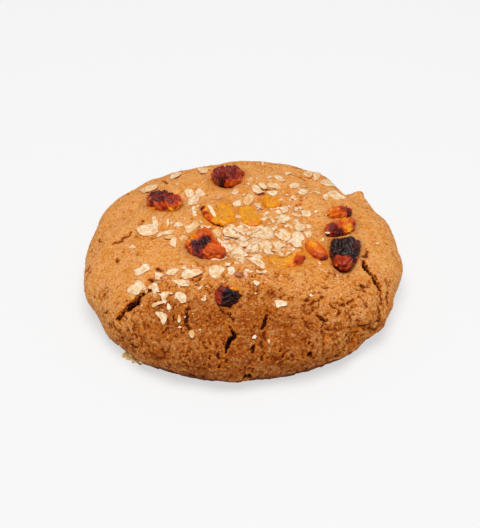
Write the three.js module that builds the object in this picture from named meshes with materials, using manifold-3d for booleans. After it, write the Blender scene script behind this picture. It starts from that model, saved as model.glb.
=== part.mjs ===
import * as THREE from "three";
import { mergeVertices } from "three/addons/utils/BufferGeometryUtils.js";
import Module from "manifold-3d";

// Oatmeal raisin cookie: one thick, cracked mound of baked dough with rolled-oat
// flakes stuck to its crown, and dried grapes (dark raisins and golden sultanas)
// that each sit in a pocket of the dough.
// Millimetres, +Z up, +Y to the back, origin at the centre of the flat underside.

// Driving dimensions of the dough.
const COOKIE_RADIUS = 44.8;
const COOKIE_HEIGHT = 20;
const BULGE_HEIGHT = 7.2;
const UNDERSIDE_SHARE = 0.88;
const UNDERSIDE_FALL = THREE.MathUtils.degToRad(125);
const CROWN_POWER = 2.3;
const FOOT_POWER = 2.2;

// Middle of the finished cookie's outer box, measured from the axis of the dough.
// All places below are measured from that axis too.
const BOX_MIDDLE = [0.68, 0.15];

// Front view that places on the crust are given in, as across and down: it looks down
// from the front at the middle of the box, and a millimetre there is VIEW_SCALE units.
const VIEW_ELEVATION = THREE.MathUtils.degToRad(39);
const VIEW_DISTANCE = 450;
const VIEW_SCALE = 3.533;
const VIEW_MIDDLE = [243.6, 282.5];

// Slow waves of the outline: waves round the rim, height, azimuth of the first crest.
const OUTLINE_WAVES = [
  [2, 0.52, 82],
  [3, 0.49, -14],
  [4, 0.21, -34],
  [5, 0.22, 5],
  [6, 0.24, 15],
];

// Rolling lumps of the crust, a seeded sum of waves through space.
const LUMP_COUNT = 18;
const LUMP_LENGTHS = [7, 18];
const LUMP_STEEPNESS = 0.009;
const LUMP_SEED = 20;
const LUMP_FADE = [0.2, 3];

// Single swellings (+) and dents (-): azimuth, fall from the top, radius, height.
const SWELLINGS = [
  [38.6, 57.5, 1.7, -2.8],
  [42, 64, 1.7, -3],
  [45, 74, 1.7, -3],
  [37.2, 72, 1.8, 2.2],
  [31, 76, 3.2, 0.8],
  [-24, 40, 3.4, -1.3],
  [-38, 70, 4, 0.8],
  [-44, 85, 3, -1.1],
  [-50, 83, 3, -0.9],
  [-34, 96, 3, 1],
  [-41, 101, 3, -0.8],
  [-141, 96, 7, -0.8],
];

// Cracks in the crust: half width at the middle, lowest point, and path in the view.
const CRACK_DEPTH = 2.2;
const CRACKS = [
  { halfWidth: 0.8, floor: 8, path: [[152, 288], [142, 295.5], [133, 304.5], [126, 308.5], [117, 319]] },
  { halfWidth: 0.6, floor: 8, path: [[365.5, 260], [366, 268.5], [373.5, 278], [377, 286], [380.5, 293]] },
  { halfWidth: 0.5, floor: 5, path: [[230, 327], [234.5, 335], [230, 339], [227.5, 345], [226, 353]] },
  { halfWidth: 0.35, floor: 8, path: [[266.5, 314.5], [265.5, 321], [261.5, 328]] },
];

// Dried grapes: name, height of the widest ring over the crust, thickness, for some how
// much they grow towards the top or the depth of a torn middle, and corners in the view.
const POCKET_GAP = 0.3;
const GRAPE_ROUNDING = THREE.MathUtils.degToRad(12);
const GRAPE_POWER = 0.9;
const TEAR_SHARE = 0.35;
const GRAPES = [
  {
    name: "raisin_back", lift: 0.6, thickness: 4.4,
    corners: [[211.5, 177], [215, 174], [221, 172], [228, 171.5], [235, 171.5], [241, 172.5],
      [244, 176], [239.5, 182], [232, 186], [224, 186.5], [215, 183]],
  },
  {
    name: "raisin_left", lift: 0.5, thickness: 4.0,
    corners: [[147, 205], [150, 198.5], [157, 195], [165, 194], [173, 197], [180, 199.5], [182, 204],
      [178, 209.5], [168, 211.5], [155, 211]],
  },
  {
    name: "raisin_middle", lift: 0.4, thickness: 4.0,
    corners: [[186, 247], [189, 240], [197, 234], [205, 231], [210, 232.5], [213, 239], [219, 246],
      [228, 254.5], [225, 258], [213, 257.5], [204, 258.5], [193, 255]],
  },
  {
    name: "raisin_front", lift: 0.5, thickness: 4.0,
    corners: [[215, 293], [219, 288.5], [226, 287], [234, 290], [242.5, 292.5], [240, 297], [235, 302],
      [225, 305], [218, 302]],
  },
  {
    name: "raisin_black", lift: 1.3, thickness: 5.8, flare: 0.2,
    corners: [[330, 242], [334, 238.5], [347, 238], [356, 239.5], [359, 244], [357, 252], [353, 261],
      [347, 266], [340, 266], [334, 260], [331, 250]],
  },
  {
    name: "raisin_torn", lift: 0.5, thickness: 3.8, tear: 1.2,
    corners: [[325, 232], [327, 226], [334, 222.5], [342, 220], [350, 220], [356, 223], [352, 230],
      [345, 234], [336, 235.5], [329, 235.5]],
  },
  {
    name: "raisin_small", lift: 0.4, thickness: 3.2,
    corners: [[327, 214.5], [331, 210], [339, 208.5], [347, 210.5], [352, 214], [345, 218],
      [336, 219.5], [329, 218]],
  },
  {
    name: "sultana_crescent", lift: 0.2, thickness: 2.8,
    corners: [[199.5, 208], [204, 206.5], [210, 211], [217, 213], [222, 204.5], [228, 207], [235, 216],
      [236.5, 221], [232, 225], [223, 228], [213, 224.5], [204, 219]],
  },
  {
    name: "sultana_middle", lift: 0.1, thickness: 2.6,
    corners: [[238, 215], [241, 209], [248, 207], [254, 212], [258, 218], [262, 224], [258, 228],
      [249, 228], [242, 225]],
  },
  {
    name: "sultana_back", lift: 0.1, thickness: 2.4,
    corners: [[263, 201], [266, 197], [272, 197.5], [282, 204], [279, 207.5], [270, 209], [264, 207]],
  },
  {
    name: "sultana_strip", lift: 0.2, thickness: 2.8,
    corners: [[267, 258], [272, 255.5], [280, 257], [288, 256], [296, 251], [303, 249], [306, 255],
      [303, 261], [295, 266], [285, 267], [273, 264]],
  },
  {
    name: "sultana_right", lift: 0.1, thickness: 2.8,
    corners: [[305, 242], [310, 240], [318, 243.5], [324, 249], [329, 257], [324, 260], [315, 257],
      [307, 250]],
  },
];

// Rolled-oat flakes that stand out: x, y, length, width, turn.
const FLAKE_THICKNESS = 1.4;
const FLAKE_LIFT = 0;
const FLAKE_SIDES = 8;
const FLAKE_SEED = 7;
const FLAKE_STRETCH = [0.86, 1.12];
const FLAKE_CUP = [0.1, 0.35];
const FLAKE_TILT = 0.08;
const FLAKES = [
  [-26.3, 22.5, 7, 5, 5],
  [-18.9, 29.4, 5, 3.6, -10],
  [-11, 31, 4.6, 3.2, 0],
  [-14.8, 18.4, 4.2, 3.4, 20],
  [-11.2, 18, 4.8, 3.2, 60],
  [-13.4, 13, 5.2, 3.6, -60],
  [-12.6, 7.6, 6, 2.6, -80],
  [-25.2, -0.6, 6.2, 4.8, 14],
  [-22.6, 3, 5.6, 2.2, -70],
  [-19.4, -3.2, 6, 2.8, 8],
  [-18, -7, 4.2, 2.4, 80],
  [-13.4, -1, 4.8, 3.4, 20],
  [-26.2, -16.4, 5.2, 4, 30],
  [-27.4, -22.6, 5.4, 4.4, 40],
  [-13, -18.8, 6, 4, 10],
  [-18.6, -18, 3.8, 3.4, 0],
  [-15.2, -23, 4.4, 3, -20],
  [-22.6, -22.8, 5, 2.4, -80],
  [-20.2, -27, 4.4, 3.2, 60],
  [-15.6, -27.6, 4.6, 3.4, -50],
  [-20.4, -32.4, 4.4, 3.2, -40],
  [-6, -18.6, 5.4, 4.4, 20],
  [10.2, -29.4, 4.4, 2.8, 6],
  [19.4, 30, 4.6, 3.2, 10],
  [24.4, 27.2, 6, 4, -20],
  [26.4, 18.6, 6.6, 4.2, -20],
  [15.6, 20.4, 5.6, 3.4, 10],
  [10.8, 24.6, 6.2, 3.4, -60],
  [7.2, 20.8, 5, 3.4, -20],
  [18.4, 15.6, 3.8, 3.2, 0],
  [9.6, 8, 4.6, 4, 30],
  [17.4, 6.6, 4.8, 3.8, 0],
  [12.4, 3.2, 4.8, 3.8, 20],
  [-3.2, -2.6, 5, 4, -20],
  [4.6, -1.8, 6.2, 5.2, 30],
  [11, -4.6, 5.4, 3.8, -30],
  [17.4, -0.8, 5.2, 4, 40],
  [15.4, -5.6, 4.8, 4.6, 0],
  [-3.4, -10, 6.2, 3, -50],
  [1.6, -9.4, 6, 4.4, 20],
  [0.8, -15.6, 6, 4, -80],
  [5, -17.2, 6.2, 3.8, -40],
  [8, -9.6, 4.8, 3.6, 30],
  [22.6, -2.4, 4.6, 2.4, 50],
];

// Cells along the crown and down the rim of the dough mesh.
const CROWN_CELLS = 27;
const RIM_CELLS = 11;
const CORE_CELLS = 12;

const COLOURS = {
  dough: 0xd28b4b,
  raisin: 0x5e2418,
  sultana: 0xdb8a1c,
};

const wasm = await Module();
wasm.setup();

// Seeded generator of numbers from 0 to 1 (Park and Miller's).
function seededDraw(seed) {
  let state = seed;
  return () => {
    state = (state * 48271) % 2147483647;
    return state / 2147483647;
  };
}

// Welds a closed geometry's corners and drops the empty faces at its poles.
function weld(geometry) {
  geometry.deleteAttribute("normal");
  geometry.deleteAttribute("uv");
  const welded = mergeVertices(geometry, 1e-5);
  const corners = welded.getIndex().array;
  const kept = [];
  for (let i = 0; i < corners.length; i += 3) {
    const [a, b, c] = corners.slice(i, i + 3);
    if (a !== b && b !== c && c !== a) {
      kept.push(a, b, c);
    }
  }
  welded.setIndex(kept);
  return welded;
}

function toSolid(geometry) {
  return new wasm.Manifold(
    new wasm.Mesh({
      numProp: 3,
      vertProperties: new Float32Array(geometry.getAttribute("position").array),
      triVerts: new Uint32Array(geometry.getIndex().array),
    })
  );
}

function toGeometry(solid) {
  const mesh = solid.getMesh();
  const geometry = new THREE.BufferGeometry();
  geometry.setAttribute("position", new THREE.BufferAttribute(mesh.vertProperties, 3));
  geometry.setIndex(new THREE.BufferAttribute(mesh.triVerts, 1));
  return geometry;
}

// Distance from the axis to the widest ring, which the slow waves make uneven.
function outlineRadius(azimuth) {
  let radius = COOKIE_RADIUS;
  for (const [count, height, crest] of OUTLINE_WAVES) {
    radius += height * Math.cos(count * (azimuth - THREE.MathUtils.degToRad(crest)));
  }
  return radius;
}

// Smooth dough surface. The fall is the angle down from the top: the crown is a
// flattened quarter of a rounded ellipse, the foot curls in to the underside, and
// the underside is flat.
function smoothPoint(azimuth, fall) {
  const rim = Math.PI / 2;
  let share;
  let height;
  if (fall <= rim) {
    share = Math.sin(fall) ** (2 / CROWN_POWER);
    height = BULGE_HEIGHT + (COOKIE_HEIGHT - BULGE_HEIGHT) * Math.cos(fall);
  } else if (fall < UNDERSIDE_FALL) {
    const curl = (rim * (fall - rim)) / (UNDERSIDE_FALL - rim);
    share = UNDERSIDE_SHARE + (1 - UNDERSIDE_SHARE) * Math.cos(curl) ** (2 / FOOT_POWER);
    height = BULGE_HEIGHT * (1 - Math.sin(curl) ** (2 / FOOT_POWER));
  } else {
    share = (UNDERSIDE_SHARE * (Math.PI - fall)) / (Math.PI - UNDERSIDE_FALL);
    height = 0;
  }
  const radius = share * outlineRadius(azimuth);
  return new THREE.Vector3(radius * Math.cos(azimuth), radius * Math.sin(azimuth), height);
}

// Seeded waves with random directions, whose heights grow with their lengths.
function lumpWaves() {
  const draw = seededDraw(LUMP_SEED);
  const waves = [];
  for (let i = 0; i < LUMP_COUNT; i++) {
    const length = LUMP_LENGTHS[0] + (LUMP_LENGTHS[1] - LUMP_LENGTHS[0]) * draw();
    const azimuth = 2 * Math.PI * draw();
    const climb = 2 * draw() - 1;
    const level = Math.sqrt(1 - climb * climb);
    const direction = new THREE.Vector3(level * Math.cos(azimuth), level * Math.sin(azimuth), climb);
    waves.push({
      vector: direction.multiplyScalar((2 * Math.PI) / length),
      phase: 2 * Math.PI * draw(),
      height: LUMP_STEEPNESS * length,
    });
  }
  return waves;
}

const lumps = lumpWaves();
const swellings = SWELLINGS.map(([azimuth, fall, radius, height]) => ({
  centre: smoothPoint(THREE.MathUtils.degToRad(azimuth), THREE.MathUtils.degToRad(fall)),
  radius,
  height,
}));

// Height of the crust over the smooth surface, fading out towards the underside.
function relief(point) {
  let height = 0;
  for (const wave of lumps) {
    height += wave.height * Math.sin(wave.vector.dot(point) + wave.phase);
  }
  for (const swelling of swellings) {
    const distance = point.distanceTo(swelling.centre) / swelling.radius;
    height += swelling.height * Math.exp(-distance * distance);
  }
  return height * THREE.MathUtils.smoothstep(point.z, ...LUMP_FADE);
}

// Dough mesh: a box whose faces are blown out onto the dough surface, then moved
// along its normals by the crust's relief less the inset.
function doughSolid(crownCells, rimCells, inset) {
  const box = new THREE.BoxGeometry(2, 2, 2, crownCells, crownCells, rimCells);
  const geometry = weld(box);
  const position = geometry.getAttribute("position");
  const even = (value) => Math.tan((value * Math.PI) / 4);
  for (let i = 0; i < position.count; i++) {
    const direction = new THREE.Vector3(
      even(position.getX(i)),
      even(position.getY(i)),
      even(position.getZ(i))
    ).normalize();
    const azimuth = Math.atan2(direction.y, direction.x);
    const point = smoothPoint(azimuth, Math.acos(direction.z));
    position.setXYZ(i, point.x, point.y, point.z);
  }
  geometry.computeVertexNormals();
  const normal = geometry.getAttribute("normal");
  for (let i = 0; i < position.count; i++) {
    const point = new THREE.Vector3().fromBufferAttribute(position, i);
    const outward = new THREE.Vector3().fromBufferAttribute(normal, i);
    point.addScaledVector(outward, relief(point) - inset);
    position.setXYZ(i, point.x, point.y, inset > 0 ? point.z : Math.max(point.z, 0));
  }
  return toSolid(geometry);
}

// Height of the smooth crown over a place.
function crownHeight(x, y) {
  const share = Math.min(Math.hypot(x, y) / outlineRadius(Math.atan2(y, x)), 1);
  return BULGE_HEIGHT + (COOKIE_HEIGHT - BULGE_HEIGHT) * Math.sqrt(1 - share ** CROWN_POWER);
}

// Below 1 inside the smooth dough and above 1 outside it.
function solidShare(point) {
  const share = Math.hypot(point.x, point.y) / outlineRadius(Math.atan2(point.y, point.x));
  if (point.z >= BULGE_HEIGHT) {
    const rise = (point.z - BULGE_HEIGHT) / (COOKIE_HEIGHT - BULGE_HEIGHT);
    return share ** CROWN_POWER + rise * rise;
  }
  const curl = Math.max(share - UNDERSIDE_SHARE, 0) / (1 - UNDERSIDE_SHARE);
  const drop = (BULGE_HEIGHT - point.z) / BULGE_HEIGHT;
  return curl ** FOOT_POWER + drop ** FOOT_POWER;
}

// Slope of the share of the solid along the three axes, over 0.1 mm.
function shareSlope(point) {
  const step = 0.05;
  const slopes = ["x", "y", "z"].map((axis) => {
    const high = point.clone();
    const low = point.clone();
    high[axis] += step;
    low[axis] -= step;
    return (solidShare(high) - solidShare(low)) / (2 * step);
  });
  return new THREE.Vector3(...slopes);
}

// Moves a point along the slope, by three Newton steps, until it lies on the crust.
function ontoCrust(point) {
  const moved = point.clone();
  for (let i = 0; i < 3; i++) {
    const slope = shareSlope(moved);
    moved.addScaledVector(slope, (1 - solidShare(moved)) / slope.lengthSq());
  }
  return moved;
}

// Point of the smooth dough that is seen at a place of the front view. The line of sight
// is walked to the first point inside the dough, and the crossing is then halved closer.
function seenOnCrust([across, down]) {
  const step = 0.5;
  const reach = 60;
  const focal = VIEW_SCALE * VIEW_DISTANCE;
  const back = new THREE.Vector3(0, -Math.cos(VIEW_ELEVATION), Math.sin(VIEW_ELEVATION));
  const up = new THREE.Vector3(0, Math.sin(VIEW_ELEVATION), Math.cos(VIEW_ELEVATION));
  const way = back.clone().negate().addScaledVector(up, (VIEW_MIDDLE[1] - down) / focal);
  way.x += (across - VIEW_MIDDLE[0]) / focal;
  const eye = new THREE.Vector3(...BOX_MIDDLE, 0).addScaledVector(back, VIEW_DISTANCE);
  const pointAt = (travel) => eye.clone().addScaledVector(way, travel);
  let far = VIEW_DISTANCE - reach;
  while (solidShare(pointAt(far)) >= 1 && far < VIEW_DISTANCE + reach) {
    far += step;
  }
  let near = far - step;
  for (let i = 0; i < 12; i++) {
    const middle = (near + far) / 2;
    if (solidShare(pointAt(middle)) < 1) {
      far = middle;
    } else {
      near = middle;
    }
  }
  return pointAt(far);
}

// Corners of the view laid flat on the crust at a height over it: the foot on the smooth
// crust, and the axes of the plane there, the first along the outline's longest spread.
function flatOutline(corners, lift) {
  const drop = lift * VIEW_SCALE * Math.cos(VIEW_ELEVATION);
  const points = corners.map(([across, down]) => seenOnCrust([across, down + drop]));
  const foot = ontoCrust(new THREE.Box3().setFromPoints(points).getCenter(new THREE.Vector3()));
  const normal = shareSlope(foot).normalize();
  const upright = new THREE.Quaternion().setFromUnitVectors(new THREE.Vector3(0, 0, 1), normal);
  const back = upright.clone().invert();
  const flat = points.map((point) => point.clone().sub(foot).applyQuaternion(back));
  const mean = (value) => flat.reduce((sum, point) => sum + value(point), 0) / flat.length;
  const [middleX, middleY] = [mean((point) => point.x), mean((point) => point.y)];
  const spreadX = mean((point) => (point.x - middleX) ** 2);
  const spreadY = mean((point) => (point.y - middleY) ** 2);
  const turn = Math.atan2(2 * mean((point) => point.x * point.y), spreadX - spreadY) / 2;
  const turned = new THREE.Quaternion().setFromAxisAngle(new THREE.Vector3(0, 0, 1), turn);
  const unturn = turned.clone().invert();
  return {
    foot,
    normal,
    rotation: upright.multiply(turned),
    outline: flat.map((point) => point.applyQuaternion(unturn)),
  };
}

// Distance from the origin to a closed outline of straight edges, at an angle.
function outlineReach(outline, angle) {
  const [rayX, rayY] = [Math.cos(angle), Math.sin(angle)];
  let reach = 0;
  outline.forEach((corner, i) => {
    const next = outline[(i + 1) % outline.length];
    const [edgeX, edgeY] = [next.x - corner.x, next.y - corner.y];
    const across = rayX * edgeY - rayY * edgeX;
    const share = (corner.x * rayY - corner.y * rayX) / across;
    if (share >= 0 && share <= 1) {
      reach = Math.max(reach, (corner.x * edgeY - corner.y * edgeX) / across);
    }
  });
  return reach;
}

// The same with its corners rounded off, as a mean over a small turn to both sides.
function roundedReach(outline, angle) {
  const sides =
    outlineReach(outline, angle - GRAPE_ROUNDING) + outlineReach(outline, angle + GRAPE_ROUNDING);
  return (sides + 2 * outlineReach(outline, angle)) / 4;
}

// Places a geometry on the crust: its +Z along the crust's normal, its +X turned
// by the given angle from the +X of the cookie, its origin at the given lift.
function seatOnCrust(geometry, [x, y], turn, lift, tilt) {
  const step = 0.5;
  const slopeX = (crownHeight(x + step, y) - crownHeight(x - step, y)) / (2 * step);
  const slopeY = (crownHeight(x, y + step) - crownHeight(x, y - step)) / (2 * step);
  const normal = new THREE.Vector3(-slopeX, -slopeY, 1).normalize();
  const foot = new THREE.Vector3(x, y, crownHeight(x, y));
  foot.addScaledVector(normal, relief(foot) + lift);
  const upright = new THREE.Quaternion().setFromUnitVectors(new THREE.Vector3(0, 0, 1), normal);
  const turned = new THREE.Quaternion().setFromEuler(
    new THREE.Euler(tilt[0], tilt[1], THREE.MathUtils.degToRad(turn), "ZYX")
  );
  const pose = new THREE.Matrix4().compose(foot, upright.multiply(turned), new THREE.Vector3(1, 1, 1));
  return geometry.applyMatrix4(pose);
}

// Upright leaf-shaped blade along a crack: widest at its middle, pointed at its ends.
function crackBlade({ halfWidth, floor, path }) {
  const points = path.map((place) => {
    const { x, y } = seenOnCrust(place);
    return new THREE.Vector2(x, y);
  });
  const last = points.length - 1;
  const sides = points.map((point, i) => {
    const along = points[Math.min(i + 1, last)].clone().sub(points[Math.max(i - 1, 0)]).normalize();
    const reach = halfWidth * Math.sin((Math.PI * (i + 0.15)) / (last + 0.3));
    return new THREE.Vector2(-along.y, along.x).multiplyScalar(reach);
  });
  const left = points.map((point, i) => point.clone().add(sides[i]));
  const right = points.map((point, i) => point.clone().sub(sides[i]));
  const outline = new THREE.Shape([...right, ...left.reverse()]);
  const blade = new THREE.ExtrudeGeometry(outline, { depth: 2 * COOKIE_HEIGHT, bevelEnabled: false });
  blade.translate(0, 0, floor);
  return toSolid(weld(blade));
}

// Rolled-oat flake: a thin eight-sided plate, uneven at its edge and cupped.
function flakeSolid([x, y, length, width, turn], draw) {
  const plate = new THREE.CylinderGeometry(1, 1, 1, FLAKE_SIDES, 1);
  plate.rotateX(Math.PI / 2);
  const geometry = weld(plate);
  const position = geometry.getAttribute("position");
  const stretch = [];
  for (let side = 0; side < FLAKE_SIDES; side++) {
    stretch.push(THREE.MathUtils.lerp(...FLAKE_STRETCH, draw()));
  }
  const cup = THREE.MathUtils.lerp(...FLAKE_CUP, draw());
  for (let i = 0; i < position.count; i++) {
    const angle = Math.atan2(position.getY(i), position.getX(i));
    const side = Math.round((angle / (2 * Math.PI)) * FLAKE_SIDES + FLAKE_SIDES) % FLAKE_SIDES;
    const reach = Math.hypot(position.getX(i), position.getY(i));
    position.setXYZ(
      i,
      (position.getX(i) * stretch[side] * length) / 2,
      (position.getY(i) * stretch[side] * width) / 2,
      position.getZ(i) * FLAKE_THICKNESS + cup * reach * reach
    );
  }
  const tilt = [FLAKE_TILT * (2 * draw() - 1), FLAKE_TILT * (2 * draw() - 1)];
  return toSolid(seatOnCrust(geometry, [x, y], turn, FLAKE_LIFT, tilt));
}

// Dried grape: a ball whose widest ring follows the grape's outline on the crust, and
// whose middle may be torn. The growth widens it all round.
function grapeGeometry({ corners, lift, thickness, flare = 0, tear = 0 }, growth) {
  const { foot, normal, rotation, outline } = flatOutline(corners, lift);
  const geometry = weld(new THREE.IcosahedronGeometry(1, 2));
  const position = geometry.getAttribute("position");
  const reaches = outline.map((corner) => Math.hypot(corner.x, corner.y));
  const size = reaches.reduce((sum, reach) => sum + reach, 0) / reaches.length;
  for (let i = 0; i < position.count; i++) {
    const ball = new THREE.Vector3().fromBufferAttribute(position, i);
    const reach = (roundedReach(outline, Math.atan2(ball.y, ball.x)) + growth) * (1 + flare * ball.z);
    const rise = Math.sign(ball.z) * Math.abs(ball.z) ** GRAPE_POWER * (thickness / 2 + growth);
    const torn = tear * Math.max(ball.z, 0) * Math.exp(-(((ball.x * reach) / size / TEAR_SHARE) ** 2));
    position.setXYZ(i, ball.x * reach, ball.y * reach, rise - torn);
  }
  const middle = foot.clone().addScaledVector(normal, relief(foot) + lift);
  const pose = new THREE.Matrix4().compose(middle, rotation, new THREE.Vector3(1, 1, 1));
  return geometry.applyMatrix4(pose);
}

// The dough with its cracks, its flakes fused on, and a pocket for each grape.
function cookieGeometry() {
  const core = doughSolid(CORE_CELLS, CORE_CELLS / 2, CRACK_DEPTH);
  const cracks = CRACKS.map((crack) => crackBlade(crack).subtract(core));
  const draw = seededDraw(FLAKE_SEED);
  const flakes = FLAKES.map((flake) => flakeSolid(flake, draw));
  const pockets = GRAPES.map((grape) => toSolid(grapeGeometry(grape, POCKET_GAP)));
  let cookie = doughSolid(CROWN_CELLS, RIM_CELLS, 0);
  for (const crack of cracks) {
    cookie = cookie.subtract(crack);
  }
  for (const flake of flakes) {
    cookie = cookie.add(flake);
  }
  for (const pocket of pockets) {
    cookie = cookie.subtract(pocket);
  }
  const pieces = cookie.decompose().sort((a, b) => b.volume() - a.volume());
  return toGeometry(pieces[0]);
}

function finish(colour, roughness) {
  return new THREE.MeshStandardMaterial({ color: colour, roughness, metalness: 0 });
}

function namedMesh(name, geometry, material) {
  const mesh = new THREE.Mesh(geometry, material);
  mesh.name = name;
  return mesh;
}

const oatmealCookie = new THREE.Group();
oatmealCookie.position.set(-BOX_MIDDLE[0], -BOX_MIDDLE[1], 0);
oatmealCookie.add(namedMesh("cookie", cookieGeometry(), finish(COLOURS.dough, 0.85)));
GRAPES.forEach((grape) => {
  const golden = grape.name.startsWith("sultana");
  const material = golden ? finish(COLOURS.sultana, 0.35) : finish(COLOURS.raisin, 0.3);
  oatmealCookie.add(namedMesh(grape.name, grapeGeometry(grape, 0), material));
});

export default oatmealCookie;
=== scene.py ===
"""Oatmeal raisin cookie: baked dough, rolled-oat flakes and dried grapes.

All shapes are worked out in millimetres from the axis of the dough, as in the part's
source, and are written into the meshes in metres, from the middle of the cookie's box.
"""

import math

import bpy
import numpy as np
from bpy.props import FloatProperty
from bpy.props import FloatVectorProperty
from bpy.props import IntProperty
from bpy.props import PointerProperty
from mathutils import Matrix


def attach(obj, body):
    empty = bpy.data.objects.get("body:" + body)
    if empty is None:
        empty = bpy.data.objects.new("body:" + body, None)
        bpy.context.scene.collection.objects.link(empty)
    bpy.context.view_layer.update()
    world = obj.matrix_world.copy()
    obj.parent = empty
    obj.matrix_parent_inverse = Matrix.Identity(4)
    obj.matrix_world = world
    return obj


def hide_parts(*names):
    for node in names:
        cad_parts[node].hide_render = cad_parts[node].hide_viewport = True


bl_info = {
    "name": "Oatmeal Raisin Cookie",
    "version": (1, 0, 0),
    "blender": (4, 5, 0),
    "location": "3D View > Sidebar > Cookie",
    "description": "Builds a baked oatmeal raisin cookie around its fixed frame",
    "category": "Object",
}

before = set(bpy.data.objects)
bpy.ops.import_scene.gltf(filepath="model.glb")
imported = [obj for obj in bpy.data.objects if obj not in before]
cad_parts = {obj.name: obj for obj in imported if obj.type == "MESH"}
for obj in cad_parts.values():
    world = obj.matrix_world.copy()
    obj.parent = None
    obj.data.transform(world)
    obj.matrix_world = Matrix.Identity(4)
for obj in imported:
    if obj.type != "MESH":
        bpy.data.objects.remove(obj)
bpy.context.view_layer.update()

MM = 0.001

# Driving dimensions of the dough, shared with the part's source.
COOKIE_RADIUS = 44.8
COOKIE_HEIGHT = 20
BULGE_HEIGHT = 7.2
UNDERSIDE_SHARE = 0.88
CROWN_POWER = 2.3
FOOT_POWER = 2.2
UNDERSIDE_FALL = math.radians(125)
BOX_MIDDLE = np.array([0.68, 0.15, 0.0])

# Front view that places on the crown are given in, as across and down: it looks down from
# the front at the middle of the box, and a millimetre there is VIEW_SCALE units.
VIEW_ELEVATION = math.radians(39)
VIEW_DISTANCE = 450
VIEW_SCALE = 3.533
VIEW_MIDDLE = (243.6, 282.5)

# Slow waves of the outline: waves round the rim, height, azimuth of the first crest.
OUTLINE_WAVES = [
    (2, 0.52, 82),
    (3, 0.49, -14),
    (4, 0.21, -34),
    (5, 0.22, 5),
    (6, 0.24, 15),
]

# Rolling lumps of the crust, a seeded sum of waves through space.
LUMP_COUNT = 18
LUMP_LENGTHS = (7, 18)
LUMP_STEEPNESS = 0.009
LUMP_SEED = 20

# Single swellings (+) and dents (-): azimuth, fall from the top, radius, height.
SWELLINGS = [
    (38.6, 57.5, 1.7, -2.8),
    (42, 64, 1.7, -3),
    (45, 74, 1.7, -3),
    (37.2, 72, 1.8, 2.2),
    (33.2, 72, 1.9, 0.9),
    (31, 76, 3.2, 0.8),
    (-24, 40, 3.4, -1.3),
    (-38, 70, 4, 0.8),
    (-44, 85, 3, -1.1),
    (-50, 83, 3, -0.9),
    (-34, 96, 3, 1),
    (-41, 101, 3, -0.8),
    (-141, 96, 7, -0.8),
]

# Deep cracks: depth in millimetres, then across, down and half width in the front view.
CRACKS = [
    (4.4, [(152, 288, 0.5), (147, 292, 0.6), (142, 295.5, 0.9), (138, 299, 1.8), (135, 302.5, 3),
        (131.5, 305.5, 3.4), (128, 307.5, 2.6), (126, 308, 1.0)]),
    (4.0, [(122.5, 311, 1.3), (120.5, 313.5, 2.2), (118.5, 316, 2), (117, 318.5, 0.6)]),
    (2.4, [(364.5, 260, 0.8), (364.5, 263.5, 1.2), (366, 268.5, 1.8), (369.5, 272.5, 1.4), (373, 278, 1.7),
        (375, 282, 2.2), (377, 286, 2.3), (379, 289.5, 1.8), (380.5, 293, 0.8)]),
    (2.0, [(380.5, 293, 0.6), (380, 297, 1.2), (381.3, 300.5, 0.8), (381.2, 304.5, 1.2)]),
    (3.4, [(230, 326.5, 0.7), (232, 330, 1.0), (234.5, 334.5, 1.0), (233.5, 337, 1.3), (230, 339.5, 1.7),
        (228.5, 342, 1.7), (227.5, 345, 1.1), (226.3, 349, 1.0), (225.5, 353, 0.5)]),
    (2.2, [(266.5, 314.5, 0.6), (265.5, 318, 1.3), (265.5, 321, 1.4), (263.5, 325, 0.8),
        (261.5, 328, 0.8)]),
    (2.2, [(254.5, 344, 0.7), (253.5, 346.5, 1.1), (253, 349.5, 0.9), (252.5, 352.5, 1.3)]),
    (2.0, [(316.5, 312.5, 0.7), (319.5, 315.5, 1.0), (323, 317.5, 1.4), (327.5, 319, 1.2)]),
    (2.2, [(243, 377.5, 1.0), (246.5, 375.5, 2.2), (251, 378, 1.2)]),
]

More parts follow.
